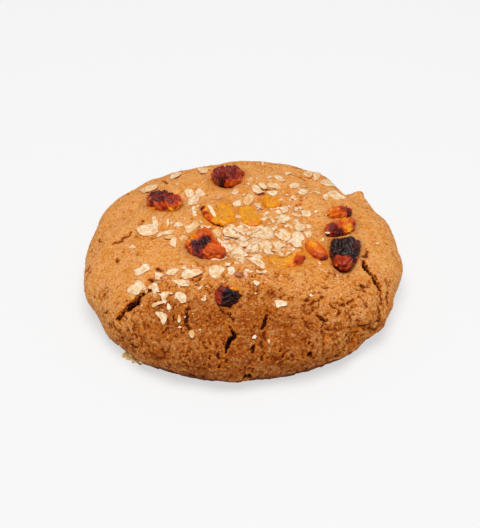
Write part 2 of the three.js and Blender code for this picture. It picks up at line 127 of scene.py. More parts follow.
# Shallow fissures, in the same form.
FISSURES = [
    (1.5, [(218, 304, 0.6), (220.5, 309, 0.9), (225, 313, 1.2), (229.5, 313.5, 1), (232, 317, 1.2),
        (233, 320, 0.6)]),
    (1.4, [(264, 308.5, 0.4), (268, 309.5, 0.5), (271, 312, 0.9), (272.5, 309.5, 1.1), (277, 308.5, 0.7)]),
    (1.3, [(263.5, 332, 0.7), (265.3, 336, 0.9), (265, 339.5, 0.6), (261, 342, 0.8), (262.5, 347.5, 0.9)]),
    (1.6, [(264.5, 353, 0.9), (262, 357.5, 1), (262.5, 361, 0.8)]),
    (1.6, [(280.5, 348.5, 0.6), (280.3, 351, 1.2)]),
    (1.3, [(283, 354, 0.7), (283, 357, 0.6)]),
    (1.0, [(247.5, 330.5, 0.5), (249.5, 335, 0.6), (251, 337.5, 0.5)]),
    (1.4, [(250.5, 368.5, 0.8), (253, 370, 0.9)]),
    (1.7, [(217, 354, 0.5), (217.5, 356.5, 1.1), (219, 358.5, 0.8)]),
    (1.7, [(227.5, 359, 0.8), (226.5, 361.5, 1.2)]),
    (1.4, [(220.5, 364, 0.9), (219, 366.5, 1)]),
    (1.2, [(205, 347, 0.7), (206.5, 348, 1.1)]),
    (1.2, [(209.5, 341, 0.9), (210, 344, 0.7)]),
    (1.2, [(209.5, 358.5, 1), (210, 352, 0.6)]),
    (1.1, [(205, 366, 1), (203, 365, 0.5)]),
    (1.5, [(330.5, 304, 0.7), (333, 306.5, 0.8), (337, 308, 0.9), (340, 311, 1), (338.5, 313, 0.8)]),
    (1.4, [(305.5, 300.5, 1), (308.5, 299.5, 0.9)]),
    (1.1, [(311, 303.5, 0.9), (313, 301.5, 0.7), (318, 300.5, 0.8), (320, 299.5, 0.6)]),
    (1.2, [(322, 295, 1.1), (321.7, 297.5, 0.7)]),
    (1.3, [(343, 304, 1.1), (343, 306.5, 0.8)]),
    (1.3, [(347, 303.5, 1.1), (350.5, 302, 0.8), (352.5, 300, 0.5)]),
    (1.0, [(326.5, 329.5, 0.9), (329.5, 327.5, 0.8), (331, 325, 0.6)]),
    (1.6, [(307, 355, 0.6), (309, 353.5, 1.3), (311, 355.5, 0.8), (313.5, 357.5, 0.7)]),
    (1.3, [(309, 341.5, 0.7), (309, 343.5, 1.0)]),
    (1.3, [(361, 325.5, 0.8), (364.5, 326, 0.9), (368, 324.5, 0.7), (370.5, 323.5, 0.5)]),
    (1.3, [(352, 337, 0.9), (352.3, 341, 0.9), (350, 345.5, 1)]),
    (1.4, [(376.5, 306, 0.7), (377, 312, 0.7), (377, 318, 0.8), (376, 323.5, 1.2), (374, 329, 1)]),
    (1.2, [(387.5, 293, 0.8), (387, 300, 1), (387.5, 306, 0.6)]),
    (1.2, [(384, 281, 0.5), (386, 283.5, 0.8), (388.5, 286, 1)]),
    (1.4, [(360.5, 254, 0.5), (363.5, 256, 0.9), (366.5, 256.5, 1.2), (368, 251.5, 0.6), (366, 249, 0.6)]),
    (1.2, [(355, 286.5, 0.4), (362.5, 287, 1.2), (366, 287.5, 0.8), (369, 285, 0.5)]),
    (1.3, [(330, 357, 0.8), (333, 355.5, 0.8), (336.5, 354.5, 1.2), (340, 352, 0.8), (343, 348.5, 0.8)]),
    (1.7, [(187, 310, 0.9), (186.3, 314, 0.9), (187, 317, 1.1), (185.5, 321, 1.1)]),
    (1.9, [(187, 324.5, 0.9), (188, 327, 1.1), (190, 329.5, 0.7)]),
    (1.4, [(188.8, 301.5, 0.9), (188.7, 304.5, 0.7), (189.3, 308.5, 0.9)]),
    (1.3, [(172.5, 320.5, 1.1), (173.5, 308, 0.5), (173.5, 306.5, 0.9)]),
    (1.1, [(167, 318, 0.9), (168, 322, 0.9), (166.5, 326, 0.9), (162, 333, 1.1)]),
    (1.1, [(177.5, 325.5, 0.6), (181, 326, 0.6), (182, 333, 0.7), (184, 332, 0.9)]),
    (1.1, [(133.5, 321, 0.5), (133.3, 325, 0.9), (133.7, 328, 0.7), (132.3, 331.5, 0.5)]),
    (1.0, [(111.5, 322, 0.6), (112.5, 326, 0.6), (115, 330.5, 0.7), (117.5, 333.5, 0.9)]),
    (1.5, [(130, 345, 0.8), (131.5, 345.5, 1.3), (134.5, 346.5, 0.7), (136.5, 347.5, 0.8)]),
    (1.1, [(140.5, 337.5, 0.6), (141, 341, 0.9), (141.5, 346.5, 0.5)]),
    (1.0, [(103.5, 313.5, 0.4), (106.5, 311.5, 0.8), (108, 310, 0.4)]),
    (1.3, [(112, 245, 0.4), (116, 242.5, 0.8), (119, 243, 1.1), (121.5, 241.5, 1.0)]),
    (1.3, [(122, 239.5, 0.7), (125.5, 237.5, 1.0), (129, 236, 0.9), (131, 233.5, 0.5)]),
    (1.2, [(115, 257.5, 0.9), (116.5, 260, 0.8)]),
    (1.2, [(143, 222, 0.7), (144, 222.5, 1)]),
    (1.2, [(140, 226, 0.9), (142, 225.5, 0.7)]),
    (1.0, [(137.5, 254.5, 0.7), (137.5, 256, 0.8)]),
    (1.0, [(122, 251, 0.5), (123.5, 252, 0.7)]),
    (1.6, [(157, 268, 0.8), (158.5, 269.5, 1.2), (161.5, 271, 0.8)]),
    (1.5, [(150.5, 279.5, 1), (153.5, 280.3, 1)]),
    (1.4, [(198, 279.5, 1), (199.7, 277, 0.8)]),
    (1.2, [(201, 298, 0.9), (202, 298, 0.7)]),
    (1.3, [(153.5, 302.5, 0.9), (155.5, 301.5, 1)]),
    (1.3, [(162, 179.5, 0.6), (165, 181.5, 0.9), (167, 183.5, 0.6)]),
    (1.6, [(261, 187.5, 0.6), (264, 189.5, 1), (270, 188.5, 1), (275, 188.8, 0.6)]),
    (1.0, [(301, 196.5, 0.6), (302, 200, 0.8)]),
    (1.0, [(366.5, 209, 0.8), (370, 211, 0.8), (376, 214, 0.5)]),
]

# Ledge and dent at the front right, where crumbs have broken away, in the same form.
LEDGE = [(353, 349, 2), (356, 338, 3), (357, 330, 3), (361, 327, 1.5), (368, 327, 1), (372, 331, 1.5)]
DENT = [(325, 333, 2.6), (326.5, 336.5, 3.2), (327, 339, 2.4)]

# Dried grapes: name, height of the widest ring over the crust, thickness, flare towards
# the top, depth of a torn middle, and corners of the outline in the front view.
GRAPES = [
    ("raisin_back", 0.6, 4.4, 0, 0, [
        (211.5, 177), (215, 174), (221, 172), (228, 171.5), (235, 171.5), (241, 172.5), (244, 176),
        (239.5, 182), (232, 186), (224, 186.5), (215, 183)]),
    ("raisin_left", 0.5, 4.0, 0, 0, [
        (147, 205), (150, 198.5), (157, 195), (165, 194), (173, 197), (180, 199.5), (182, 204),
        (178, 209.5), (168, 211.5), (155, 211)]),
    ("raisin_middle", 0.4, 4.0, 0, 0, [
        (186, 247), (189, 240), (197, 234), (205, 231), (210, 232.5), (213, 239), (219, 246), (228, 254.5),
        (225, 258), (213, 257.5), (204, 258.5), (193, 255)]),
    ("raisin_front", 0.5, 4.0, 0, 0, [
        (215, 293), (219, 288.5), (226, 287), (234, 290), (242.5, 292.5), (240, 297), (235, 302),
        (225, 305), (218, 302)]),
    ("raisin_black", 1.3, 5.8, 0.2, 0, [
        (330, 242), (334, 238.5), (347, 238), (356, 239.5), (359, 244), (357, 252), (353, 261), (347, 266),
        (340, 266), (334, 260), (331, 250)]),
    ("raisin_torn", 0.5, 3.8, 0, 1.2, [
        (325, 232), (327, 226), (334, 222.5), (342, 220), (350, 220), (356, 223), (352, 230), (345, 234),
        (336, 235.5), (329, 235.5)]),
    ("raisin_small", 0.4, 3.2, 0, 0, [
        (327, 214.5), (331, 210), (339, 208.5), (347, 210.5), (352, 214), (345, 218), (336, 219.5),
        (329, 218)]),
    ("sultana_crescent", 0.2, 2.8, 0, 0, [
        (199.5, 208), (204, 206.5), (210, 211), (217, 213), (222, 204.5), (228, 207), (235, 216),
        (236.5, 221), (232, 225), (223, 228), (213, 224.5), (204, 219)]),
    ("sultana_middle", 0.1, 2.6, 0, 0, [
        (238, 215), (241, 209), (248, 207), (254, 212), (258, 218), (262, 224), (258, 228), (249, 228),
        (242, 225)]),
    ("sultana_back", 0.1, 2.4, 0, 0, [
        (263, 201), (266, 197), (272, 197.5), (282, 204), (279, 207.5), (270, 209), (264, 207)]),
    ("sultana_strip", 0.2, 2.8, 0, 0, [
        (267, 258), (272, 255.5), (280, 257), (288, 256), (296, 251), (303, 249), (306, 255), (303, 261),
        (295, 266), (285, 267), (273, 264)]),
    ("sultana_right", 0.1, 2.8, 0, 0, [
        (305, 242), (310, 240), (318, 243.5), (324, 249), (329, 257), (324, 260), (315, 257), (307, 250)]),
]

# Char of each grape, where 0 is amber and 1 is black: the char of its body and of its rim,
# the pucker of its skin, then spots of another char: across, down and radius in the front
# view, and char.
CHAR = {
    "raisin_back": (0.6, 0.3, (226, 172), [
        (233, 168, 4, 0.9), (239, 166, 3, 0.84), (221, 181.5, 3.5, 0.88), (228, 187, 4, 0.55),
        (241, 175, 3, 0.4),
        (213, 176, 3, 0.4), (217, 168, 4, 0.5), (226, 165, 3, 0.6)]),
    "raisin_left": (0.36, 0.18, (163, 198), [
        (155, 197, 5, 0.8), (163, 195, 6, 0.78), (171, 197, 4, 0.76), (178, 199, 3.5, 0.5),
        (156, 202, 4.5, 0.7), (164, 201.5, 5, 0.76), (172, 202, 4, 0.66), (165, 208.5, 2.5, 0.55),
        (152, 208, 3, 0.14), (173, 209, 4, 0.14)]),
    "raisin_middle": (0.3, 0.24, (203, 243), [
        (206, 242, 5, 0.84), (201, 246, 6, 0.88), (198, 250, 4.5, 0.72), (194, 245, 3, 0.76),
        (200, 255, 4, 0.6),
        (192, 237, 5, 0.18), (214, 248, 5, 0.27), (224, 256, 4, 0.5), (188, 250.5, 2, 0.74)]),
    "raisin_front": (0.98, 0.84, (238, 299), [
        (217, 293, 5, 0.5), (219, 298, 3.5, 0.45), (223, 290, 3, 0.62), (233.5, 303, 2.5, 0.2),
        (233, 288, 4, 0.12),
        (240, 288.5, 2.5, 0.14), (225, 286, 2.5, 0.3)]),
    "raisin_black": (0.97, 0.5, (350, 254), [
        (355, 243, 5, 0.8), (336, 256, 4.5, 0.46), (345, 258, 6, 0.42), (338, 262, 4, 0.5),
        (344, 266, 5, 0.6),
        (333, 259, 2.5, 0.06), (354, 261, 2.5, 0.86), (357, 253, 2, 0.2)]),
    "raisin_torn": (0.28, 0.26, (336, 229), [
        (332, 229, 6, 0.66), (338, 231, 4, 0.74), (354, 225, 3, 0.6), (348, 228, 5, 0.1),
        (343, 221, 4, 0.16),
        (325, 231, 2, 0.18)]),
    "raisin_small": (0.26, 0.2, (345, 213), [
        (348, 213, 4.5, 0.72), (341, 211, 4, 0.5), (333.5, 218, 2, 0.8), (330, 212, 3, 0.18)]),
    "sultana_crescent": (0.1, 0.13, (215, 220), [
        (201.5, 210, 3.5, 0.8), (206, 214, 4, 0.5), (210, 219, 4, 0.27), (222, 213, 6, 0.03),
        (230, 226, 4, 0.04)]),
    "sultana_middle": (0.1, 0.14, (250, 217), [(255, 223, 5, 0.2), (247, 226, 3, 0.18)]),
    "sultana_back": (0.1, 0.14, (270, 203), [(275, 204, 4, 0.18)]),
    "sultana_strip": (0.1, 0.16, (298, 257), [
        (276, 259, 8, 0.0), (290, 261, 5, 0.2), (299, 257, 6, 0.42), (296, 260, 2.5, 0.62),
        (301, 251, 4, 0.16),
        (305, 255, 2, 0.55)]),
    "sultana_right": (0.3, 0.24, (316, 250), [(312, 243, 4, 0.15), (319, 252, 6, 0.34),
    (324, 258, 4, 0.6)]),
}

# Rolled-oat flakes: tone (0 white, 1 toasted) and corners in the front view.
FLAKES = [
    (0.35, [(139, 190), (142, 187), (147, 185.3), (158.5, 185.2), (159, 187.5), (155, 191), (149, 193),
        (143, 194)]),
    (0.35, [(169.5, 177), (172.5, 172.5), (176, 171.8), (181, 173), (181.5, 175.5), (179, 179),
        (171, 180)]),
    (0.5, [(196.5, 169.5), (203, 169.5), (209, 170.5), (208, 172.5), (205, 174.5), (200, 174.5)]),
    (0.2, [(183.5, 190), (186.5, 189), (192, 189.5), (194.5, 192), (192, 195), (187, 195.5)]),
    (0.2, [(194.5, 191), (197, 187.5), (200, 187), (205.5, 191.5), (203.5, 193.5), (200, 194)]),
    (0.2, [(187.5, 197), (195, 194.5), (200.5, 195), (198, 201.5), (193, 204), (188, 205.5)]),
    (0.0, [(195, 202.5), (198.5, 201), (200.5, 203), (198.5, 210), (197, 220), (193, 220.5), (192, 208)]),
    (0.0, [(206.8, 210.5), (210, 211.5), (213.5, 214.5), (217, 222), (214.5, 222.3), (211, 218.5)]),
    (0.1, [(167.5, 220), (169, 220.5), (169.5, 225), (167.7, 229.8), (166.8, 226)]),
    (0.2, [(136.5, 231), (141, 227.5), (148, 225.5), (154, 225.5), (158.5, 228), (158, 231.5),
        (147, 236), (140, 235.5)]),
    (0.2, [(152.5, 221.5), (153.8, 217.5), (156, 219), (158.8, 226), (157, 228.5), (154, 227.5)]),
    (0.3, [(154.5, 238.5), (157.5, 234), (161, 232), (175.5, 230.5), (172, 234.8), (164, 235.5),
        (159, 236.8)]),
    (0.8, [(164, 237.5), (168, 236), (175, 235), (174, 238), (169, 240.5), (165.5, 240)]),
    (0.25, [(171.5, 240), (175, 237.5), (177, 240), (175.5, 248), (173.5, 246), (169.5, 245)]),
    (0.1, [(174, 226.5), (176, 224.5), (180, 223.5), (184.5, 227.5), (181, 228), (175, 228.5)]),
    (0.55, [(183, 227), (187, 229), (194, 224), (196.5, 223), (201, 228.5), (193, 232.5), (187.5, 235)]),
    (0.0, [(199.5, 228.5), (203, 226.5), (210.5, 228), (211, 230), (207, 229.8), (203, 229.5)]),
    (0.45, [(179.5, 239), (183, 236.5), (189, 238), (185.5, 240.5), (181, 241.5)]),
    (0.0, [(233, 203), (237, 199.5), (240, 199), (241, 202), (240.5, 205.5), (238, 207), (233, 206.5)]),
    (0.75, [(242.5, 200), (245, 196.5), (249, 193.5), (253.5, 195), (254.5, 198.5), (249.5, 206),
        (244, 203)]),
    (0.2, [(253.8, 202.5), (257, 203), (260.5, 206.5), (263.5, 211), (257.5, 209.5)]),
    (0.25, [(251.5, 188), (252.5, 184.5), (256, 183.5), (266, 194.5), (264.5, 196), (259, 196.2),
        (253, 192)]),
    (0.25, [(258, 184.5), (261, 182), (264.5, 183.5), (267, 187), (265, 188.5), (261.5, 187.5)]),
    (0.25, [(266.5, 184), (269.5, 182.3), (275, 183.5), (280.5, 187), (281, 189), (277, 189), (269, 187)]),
    (0.25, [(266, 190.5), (270, 190.2), (277, 191), (278, 193.5), (275, 196.5), (271, 196)]),
    (0.4, [(273.5, 177.5), (276, 175), (279, 176), (285.5, 182), (284, 183.8), (276.5, 181.5)]),
    (0.3, [(284, 173.5), (287, 171.5), (292.5, 172.5), (292, 174), (287, 175.2)]),
    (0.3, [(288.8, 187), (292, 184.5), (297, 184), (300, 185.5), (299.5, 188), (296, 189.5), (291, 189)]),
    (0.5, [(300, 187.5), (303.5, 186.5), (306.5, 185.8), (307.5, 187.8), (304, 189)]),
    (0.1, [(298, 193), (300, 191), (304, 190), (307.5, 191.5), (307.5, 194.5), (304, 196), (300, 195.5)]),
    (0.2, [(290.8, 198), (292.5, 195.5), (295, 196), (295, 198.5), (292.5, 199.5)]),
    (0.7, [(302.5, 174.5), (305.5, 172.5), (310.5, 173), (312, 176), (311, 178.5), (306.5, 177.5)]),
    (0.4, [(312, 176), (314.5, 173), (318, 173), (320, 175.5), (319.5, 178.5), (315, 179.5)]),
    (0.35, [(319.5, 181), (323, 180), (330, 181), (336, 183), (338.5, 185), (333, 186.5), (326, 185)]),
    (0.3, [(327, 193), (330.5, 190.8), (335, 191), (345, 198), (345.5, 199.5), (340, 200), (334, 199.5)]),
    (0.15, [(322.5, 197.5), (324, 194), (327.5, 192.5), (329, 195.5), (328, 199.5), (324, 200)]),
    (0.0, [(268.5, 209), (271, 205.5), (275, 204), (279, 206.5), (281.5, 213), (279, 214), (275.5, 211.5)]),
    (0.15, [(280, 208.5), (284.5, 206), (287.5, 205.5), (288.5, 209), (287.5, 212.5), (283, 214)]),
    (0.2, [(263, 215.5), (265, 212.5), (268.5, 210), (272, 210.5), (266.5, 214.5), (264.5, 217.5)]),
    (0.25, [(276.5, 223.5), (278, 219), (280.5, 216.5), (286, 216), (290, 219), (291.5, 222),
        (287, 223.5)]),
    (0.25, [(269.5, 215), (271, 214.5), (272.5, 219), (275.5, 224), (273.5, 225), (270.5, 220)]),
    (0.3, [(251, 233), (253, 228), (258, 226), (262, 226.5), (271, 229), (274.5, 237), (273.5, 239.5),
        (268, 240.5),
        (254, 239.5)]),
    (0.6, [(293.5, 229.5), (295, 226), (300, 225), (305, 226), (305.5, 229), (303, 232), (297.5, 233)]),
    (0.4, [(304, 233), (306, 230.5), (310, 230.5), (312.5, 233), (311.5, 237), (307.5, 238.5)]),
    (0.3, [(305.5, 226), (309, 225), (312, 226.5), (311, 228.5), (307, 228.5)]),
    (0.25, [(301, 210.5), (303, 208.5), (306, 208.5), (309.5, 210.5), (311, 214), (310, 217),
        (302, 216.5)]),
    (0.25, [(295.5, 215.5), (297.5, 213), (300.5, 213), (301.5, 216.5), (298, 218)]),
    (0.1, [(313, 212), (315.5, 210.5), (318, 211.5), (316.5, 213.2)]),
    (0.0, [(322, 217), (324.5, 215.5), (327, 216.5), (324.5, 218)]),
    (0.2, [(285.5, 225.5), (288, 226), (293, 229.5), (292, 231), (288, 228.5)]),
    (0.4, [(275.5, 236.5), (280, 233), (283, 231), (291, 235.5), (290.5, 239.5), (286, 241.5), (281, 240)]),
    (0.25, [(272, 244.5), (275, 241.5), (279, 241.5), (283, 242.5), (283.5, 246), (280, 248),
        (275.5, 249.5)]),
    (0.25, [(259.5, 247), (262.5, 243.5), (268, 243), (272.5, 245.5), (272, 249.5), (267, 251),
        (262, 250.5)]),
    (0.25, [(250.5, 249), (252.5, 246), (256, 245.5), (258.5, 248.5), (257.5, 252), (254, 253.5)]),
    (0.15, [(231, 230), (234.5, 227.5), (239, 226), (243, 227.5), (245.5, 231), (245, 235.5),
        (236, 231.5)]),
    (0.3, [(222.5, 233.5), (224, 230), (228, 228.8), (231.5, 231), (240, 237), (237, 239.5), (225, 237.5)]),
    (0.55, [(212.5, 232), (214.5, 228), (218.5, 227.5), (221, 231), (221.5, 235), (219.5, 238),
        (216, 237)]),
    (0.05, [(212.5, 240), (217, 239), (223, 240.5), (231, 247), (231.5, 251), (228.5, 251.5),
        (218.5, 244.5)]),
    (0.25, [(231, 250), (236, 247.5), (242, 248.5), (244.5, 257), (245, 262), (236, 267.5), (232.5, 264),
        (230, 259)]),
    (0.4, [(205.5, 256.5), (209, 256.5), (224, 256), (229, 258.5), (219.5, 261), (214, 262),
        (209.5, 260.5)]),
    (0.3, [(246, 260), (250, 258), (259.5, 255), (268, 264.5), (266, 268), (263.5, 269.5), (254, 264)]),
    (0.25, [(208, 270), (208.5, 267), (213, 265.5), (219, 266), (226, 270.5), (219, 278.5), (213.5, 279),
        (210, 276.5)]),
    (0.0, [(225, 265), (228, 262.5), (231, 265), (229.5, 268), (226.5, 268)]),
    (0.1, [(227.5, 272), (230, 269), (234, 269.5), (235.5, 274), (232, 278), (228.5, 276.5)]),
    (0.3, [(260, 273), (264, 271.5), (268, 272), (265, 274.5)]),
    (0.1, [(252.5, 282.5), (256, 281.5), (260, 284), (257.5, 287), (254.5, 286)]),
    (0.25, [(134.5, 271.5), (140, 269), (144, 265.5), (148.5, 265), (151, 269.5), (142, 275.5),
        (135.5, 278)]),
    (0.25, [(155, 273), (157.5, 272), (162, 273), (160.5, 276.5), (159.5, 280), (155, 279.5)]),
    (0.15, [(165.5, 274.5), (168, 271.5), (173, 270), (178, 269.5), (180, 271.5), (174, 277.5),
        (168.5, 276.5)]),
    (0.25, [(181, 278), (182.5, 273), (186.5, 270), (199.5, 269.5), (203, 275), (193.5, 277),
        (185, 280.5)]),
    (0.3, [(170, 281.5), (176, 280.5), (187.5, 280.5), (190, 284), (188, 287.5), (182.5, 288)]),
    (0.3, [(127.5, 293), (131, 288.5), (136, 285.5), (138.5, 281.5), (141.5, 282), (146, 287.5),
        (138, 296), (132, 295.5)]),
    (0.15, [(152, 285), (154, 283), (157, 284), (159, 289.5), (157, 293.5), (154.5, 297), (151.5, 289)]),
    (0.35, [(160.5, 296), (163, 292.5), (169, 292), (169.5, 294.5), (165.5, 301), (162.5, 302)]),
    (0.3, [(155, 304.5), (158, 302.5), (163, 301.5), (167.5, 300.5), (166, 303), (156.5, 305.8)]),
    (0.2, [(175, 297), (176, 293.5), (179.5, 292.8), (184, 294.5), (187, 299), (186.5, 304), (182, 305.2)]),
    (0.0, [(168, 304), (170, 305.5), (172, 309), (169.5, 310.8), (167, 309.5)]),
    (0.3, [(154.5, 312.5), (157, 310.8), (162, 312), (168, 315.5), (163.5, 324), (161.5, 323.5),
        (160, 319)]),
    (0.35, [(178.5, 315), (180.5, 317), (181, 321), (179.5, 324), (177.5, 322)]),
    (0.0, [(177.8, 327.5), (180, 326), (182, 327.5), (180, 329)]),
    (0.6, [(188.5, 333.5), (190.5, 330.5), (193.5, 331), (195, 334), (193.5, 338.5), (190.5, 338)]),
    (0.3, [(197, 289.5), (199.5, 287), (203, 285), (202.5, 288), (199.5, 290.5)]),
    (0.1, [(274, 300), (279.5, 299.8), (288, 301), (287, 305), (281, 305.5), (277, 307.8)]),
    (0.0, [(252, 338.5), (253, 335.5), (255.5, 334), (257, 336), (255.5, 338.5)]),
    (0.6, [(267.5, 339), (269.5, 338.5), (270.5, 341.5), (269.5, 344), (268, 342.5)]),
    (0.4, [(128.5, 248.5), (131, 245.5), (134, 246), (136.5, 248.5), (133, 249.5)]),
    (0.0, [(324, 235.5), (327, 233), (331, 232.8), (334, 235), (331, 236), (327, 237)]),
    (0.0, [(320.8, 241.5), (322.5, 238.5), (324, 235.5), (327, 237), (323, 242)]),
    (0.0, [(277.5, 249.5), (280, 249), (282, 252), (284, 255.5), (281, 256), (279, 253)]),
    (0.0, [(286.5, 251), (291, 249.3), (291, 251), (287, 252.5)]),
    (0.0, [(238.5, 215.5), (241, 213), (244, 211), (242, 214.5), (239.5, 216)]),
    (0.35, [(231, 193), (233.5, 190), (236.5, 189.5), (239, 192), (236, 194.5)]),
    (0.3, [(261, 163), (262.5, 161.5), (264, 163.5), (262.5, 165.5)]),
    (0.0, [(336.5, 275), (338, 274.5), (338.5, 277), (337, 277.5)]),
    (0.1, [(318.5, 260.5), (320.5, 260), (321.5, 263.5), (319, 263.5)]),
    (0.0, [(376, 243), (378, 242.5), (378, 244.5), (376.3, 244.8)]),
    (0.1, [(199, 328.5), (201, 328.5), (201, 330.5), (199.2, 330.5)]),
]

# The one round flake: tone, middle and radius in the front view.
DISC_FLAKE = (0.1, 298.2, 239.5, 7.2)

# Patches of scattered oat bits: middle, radius, how many, smallest and largest size.
BIT_PATCHES = [
    ((1.5, -8), 6.5, 60, 1.2, 3.8),
    ((4, -2), 7, 30, 1.2, 3.4),
    ((2, -6), 6.5, 120, 0.4, 0.9),
    ((3, -4), 11, 110, 0.6, 2.4),
    ((11, 5), 8, 60, 0.6, 2.2),
    ((0, -16), 6, 34, 0.5, 2.0),
    ((12, -10), 6, 34, 0.5, 2.0),
    ((-17, -24), 10, 34, 0.5, 1.8),
    ((12, 21), 13, 30, 0.5, 2.0),
    ((-15, 8), 11, 26, 0.5, 1.8),
    ((14, -19), 13, 18, 0.5, 1.3),
    ((0, 0), 40, 60, 0.4, 1.1),
]

# Crumbs that have come off at the foot: place and size.
CRUMBS = [
    (-30.4, -31.0, 0.8, 1.9),
    (-29.2, -31.9, 1.4, 1.7),
    (-28.5, -32.9, 0.6, 1.8),
    (-30.0, -32.5, 0.5, 1.3),
    (-27.7, -33.8, 0.4, 1.2),
    (-31.3, -31.5, 0.4, 1.0),
    (-26.9, -34.6, 0.3, 0.8),
    (-28.8, -33.9, 0.3, 0.9),
]

# Nut bits set into the crust: place in the front view, size and tone (1 the brown skin).
NUT_BITS = [
    (239.2, 277.8, 2.1, 0.75),
    (242.0, 274.8, 1.2, 0.6),
    (245.3, 277.2, 2.0, 0.05),
    (246.0, 280.2, 1.1, 0.3),
]

# Meshes of the oats: name, points round each outline, rings from the middle to the rim.
OAT_MESHES = [("oat_flakes", 42, 5), ("oat_bits", 14, 2)]

# Mean radius from which a flake has its full thickness and curl.
LARGE_FLAKE = 1.8

# A full turn, rounded, for the phases that are drawn for the flakes.
TURN = 6.3

# Slow waves of the crust, which the flakes follow: size, height and seed.
WAVE_SIZE = 5.0
WAVE_HEIGHT = 0.24
WAVE_SEED = 61

# Clumps of the crumb, with seams between them: size, seed, and how readily they show.
CLUMPS = [(5.6, 81, 0.1), (2.7, 85, 0.02), (1.6, 89, -0.27)]

# Crumb grains, coarse and fine: size and seed.
COARSE_GRAIN = (1.15, 101)
FINE_GRAIN = (0.75, 105)

# What is broken away at the ledge and the dent, and the bed pressed in under a grape.
LEDGE_DEPTH = 0.8
DENT_DEPTH = 1.0
BED_DEPTH = 1.0
BED_LIP = 0.3

# Seeds of the other noises of the dough and the flakes.
ROUGH_SEED = 51
BEND_SEED = 71
JITTER_SEEDS = (121, 131)
PITTED_SEED = 141
UNDERSIDE_SEED = 151
BAKE_SEED = 161
FLAKE_EDGE_SEEDS = (171, 173)

# The flat underside: shares of its edge's radius where its rings lie, the rings that halve
# the points, and the size and height of its dimples.
UNDERSIDE_RINGS = [0.985, 0.965, *np.linspace(0.94, 0.5, 17), *np.linspace(0.46, 0.06, 9)]
HALVING_RINGS = (0, 19, 24)
DIMPLE_SIZE = 2.2
DIMPLE_HEIGHT = 0.22

# A distance in millimetres that no seam or crack reaches.
FAR = 2.0

# Noises of the crust's material, from broad patches to the finest grain: features to the
# metre, detail and roughness. Grit is a pattern of cells.
CRUST_NOISES = {
    "patches": (75, 4, 0.6),
    "lines": (210, 3, 0.6),
    "mottle": (300, 4, 0.62),
    "crumb": (620, 3, 0.55),
    "sand": (1300, 3, 0.6),
    "micro": (2600, 3, 0.7),
}
GRIT_SCALE = 1900

# Overhead light: direction from the cookie in degrees, and distance in metres.
KEY_AZIMUTH = -90
KEY_ELEVATION = 82
KEY_DISTANCE = 0.9

# Camera: width of the sensor in millimetres, shift as shares of it, and the nearest and
# furthest distance that it sees, in metres.
SENSOR_WIDTH = 36
CAMERA_SHIFT = (-0.0068, 0.035)
CAMERA_CLIP = (0.01, 10)

WHITE = (1.0, 1.0, 1.0)


def rows(values):
    """An array with a last axis of one, so that it multiplies points."""
    return np.asarray(values, float)[..., None]


def fade(value, low, high):
    """Smooth step from 0 at low to 1 at high: 3t^2 - 2t^3 of the clipped share t."""
    share = np.clip((value - low) / (high - low), 0, 1)
    return share * share * (3 - 2 * share)


def length_of(vectors):
    """Length of each vector along the last axis."""
    return np.sqrt(np.sum(vectors * vectors, axis=-1))


def unit(vectors):
    """Each vector divided by its own length."""
    return vectors / rows(np.maximum(length_of(vectors), 1e-12))


def seeded_draws(seed, count):
    """Park and Miller's generator: the state is multiplied by 48271, modulo 2^31 - 1."""
    modulus = 2**31 - 1
    state = seed
    draws = []
    for _ in range(count):
        state = state * 48271 % modulus
        draws.append(state / modulus)
    return draws


def lattice_draws(cells, seed):
    """One number from 0 to 1 for each whole-number cell.

    The three numbers of the cell and the seed are multiplied by large odd numbers,
    joined by exclusive or, and mixed twice by folding the high bits onto the low ones.
    """
    x, y, z = np.moveaxis(cells.astype(np.int64).astype(np.uint32), -1, 0)
    mixed = x * np.uint32(0x8DA6B343) ^ y * np.uint32(0xD8163841) ^ z * np.uint32(0xCB1AB31F)
    mixed ^= np.uint32(seed * 0x9E3779B9 & 0xFFFFFFFF)
    mixed ^= mixed >> np.uint32(15)
    mixed *= np.uint32(0x2C1B3C6D)
    mixed ^= mixed >> np.uint32(12)
    mixed *= np.uint32(0x297A2D39)
    mixed ^= mixed >> np.uint32(15)
    return mixed / 2.0**32


def gradient_noise(points, seed):
    """Smooth noise from about -1 to 1.

    Each corner of the unit lattice has a random direction. The way from the corner to
    the point, times that direction, is blended over the eight corners of the cell with
    the curve 6t^5 - 15t^4 + 10t^3.
    """
    cell = np.floor(points)
    inside = points - cell
    blend = inside**3 * (inside * (inside * 6 - 15) + 10)
    total = np.zeros(points.shape[:-1])
    for corner in np.ndindex(2, 2, 2):
        corner = np.array(corner)
        turn = 2 * np.pi * lattice_draws(cell + corner, seed)
        climb = 2 * lattice_draws(cell + corner, seed + 1) - 1
        level = np.sqrt(1 - climb * climb)
        way = inside - corner
        product = way[..., 0] * level * np.cos(turn) + way[..., 1] * level * np.sin(turn)
        product += way[..., 2] * climb
        total += product * np.prod(np.where(corner == 1, blend, 1 - blend), axis=-1)
    return 1.5 * total


def layered_noise(points, size, seed, layers=4, share=0.55):
    """Sum of gradient noises, each half as large in size and `share` as high."""
    total = np.zeros(points.shape[:-1])
    height = 1.0
    for layer in range(layers):
        total += height * gradient_noise(points * (2**layer / size), seed + 7 * layer)
        height *= share
    return total


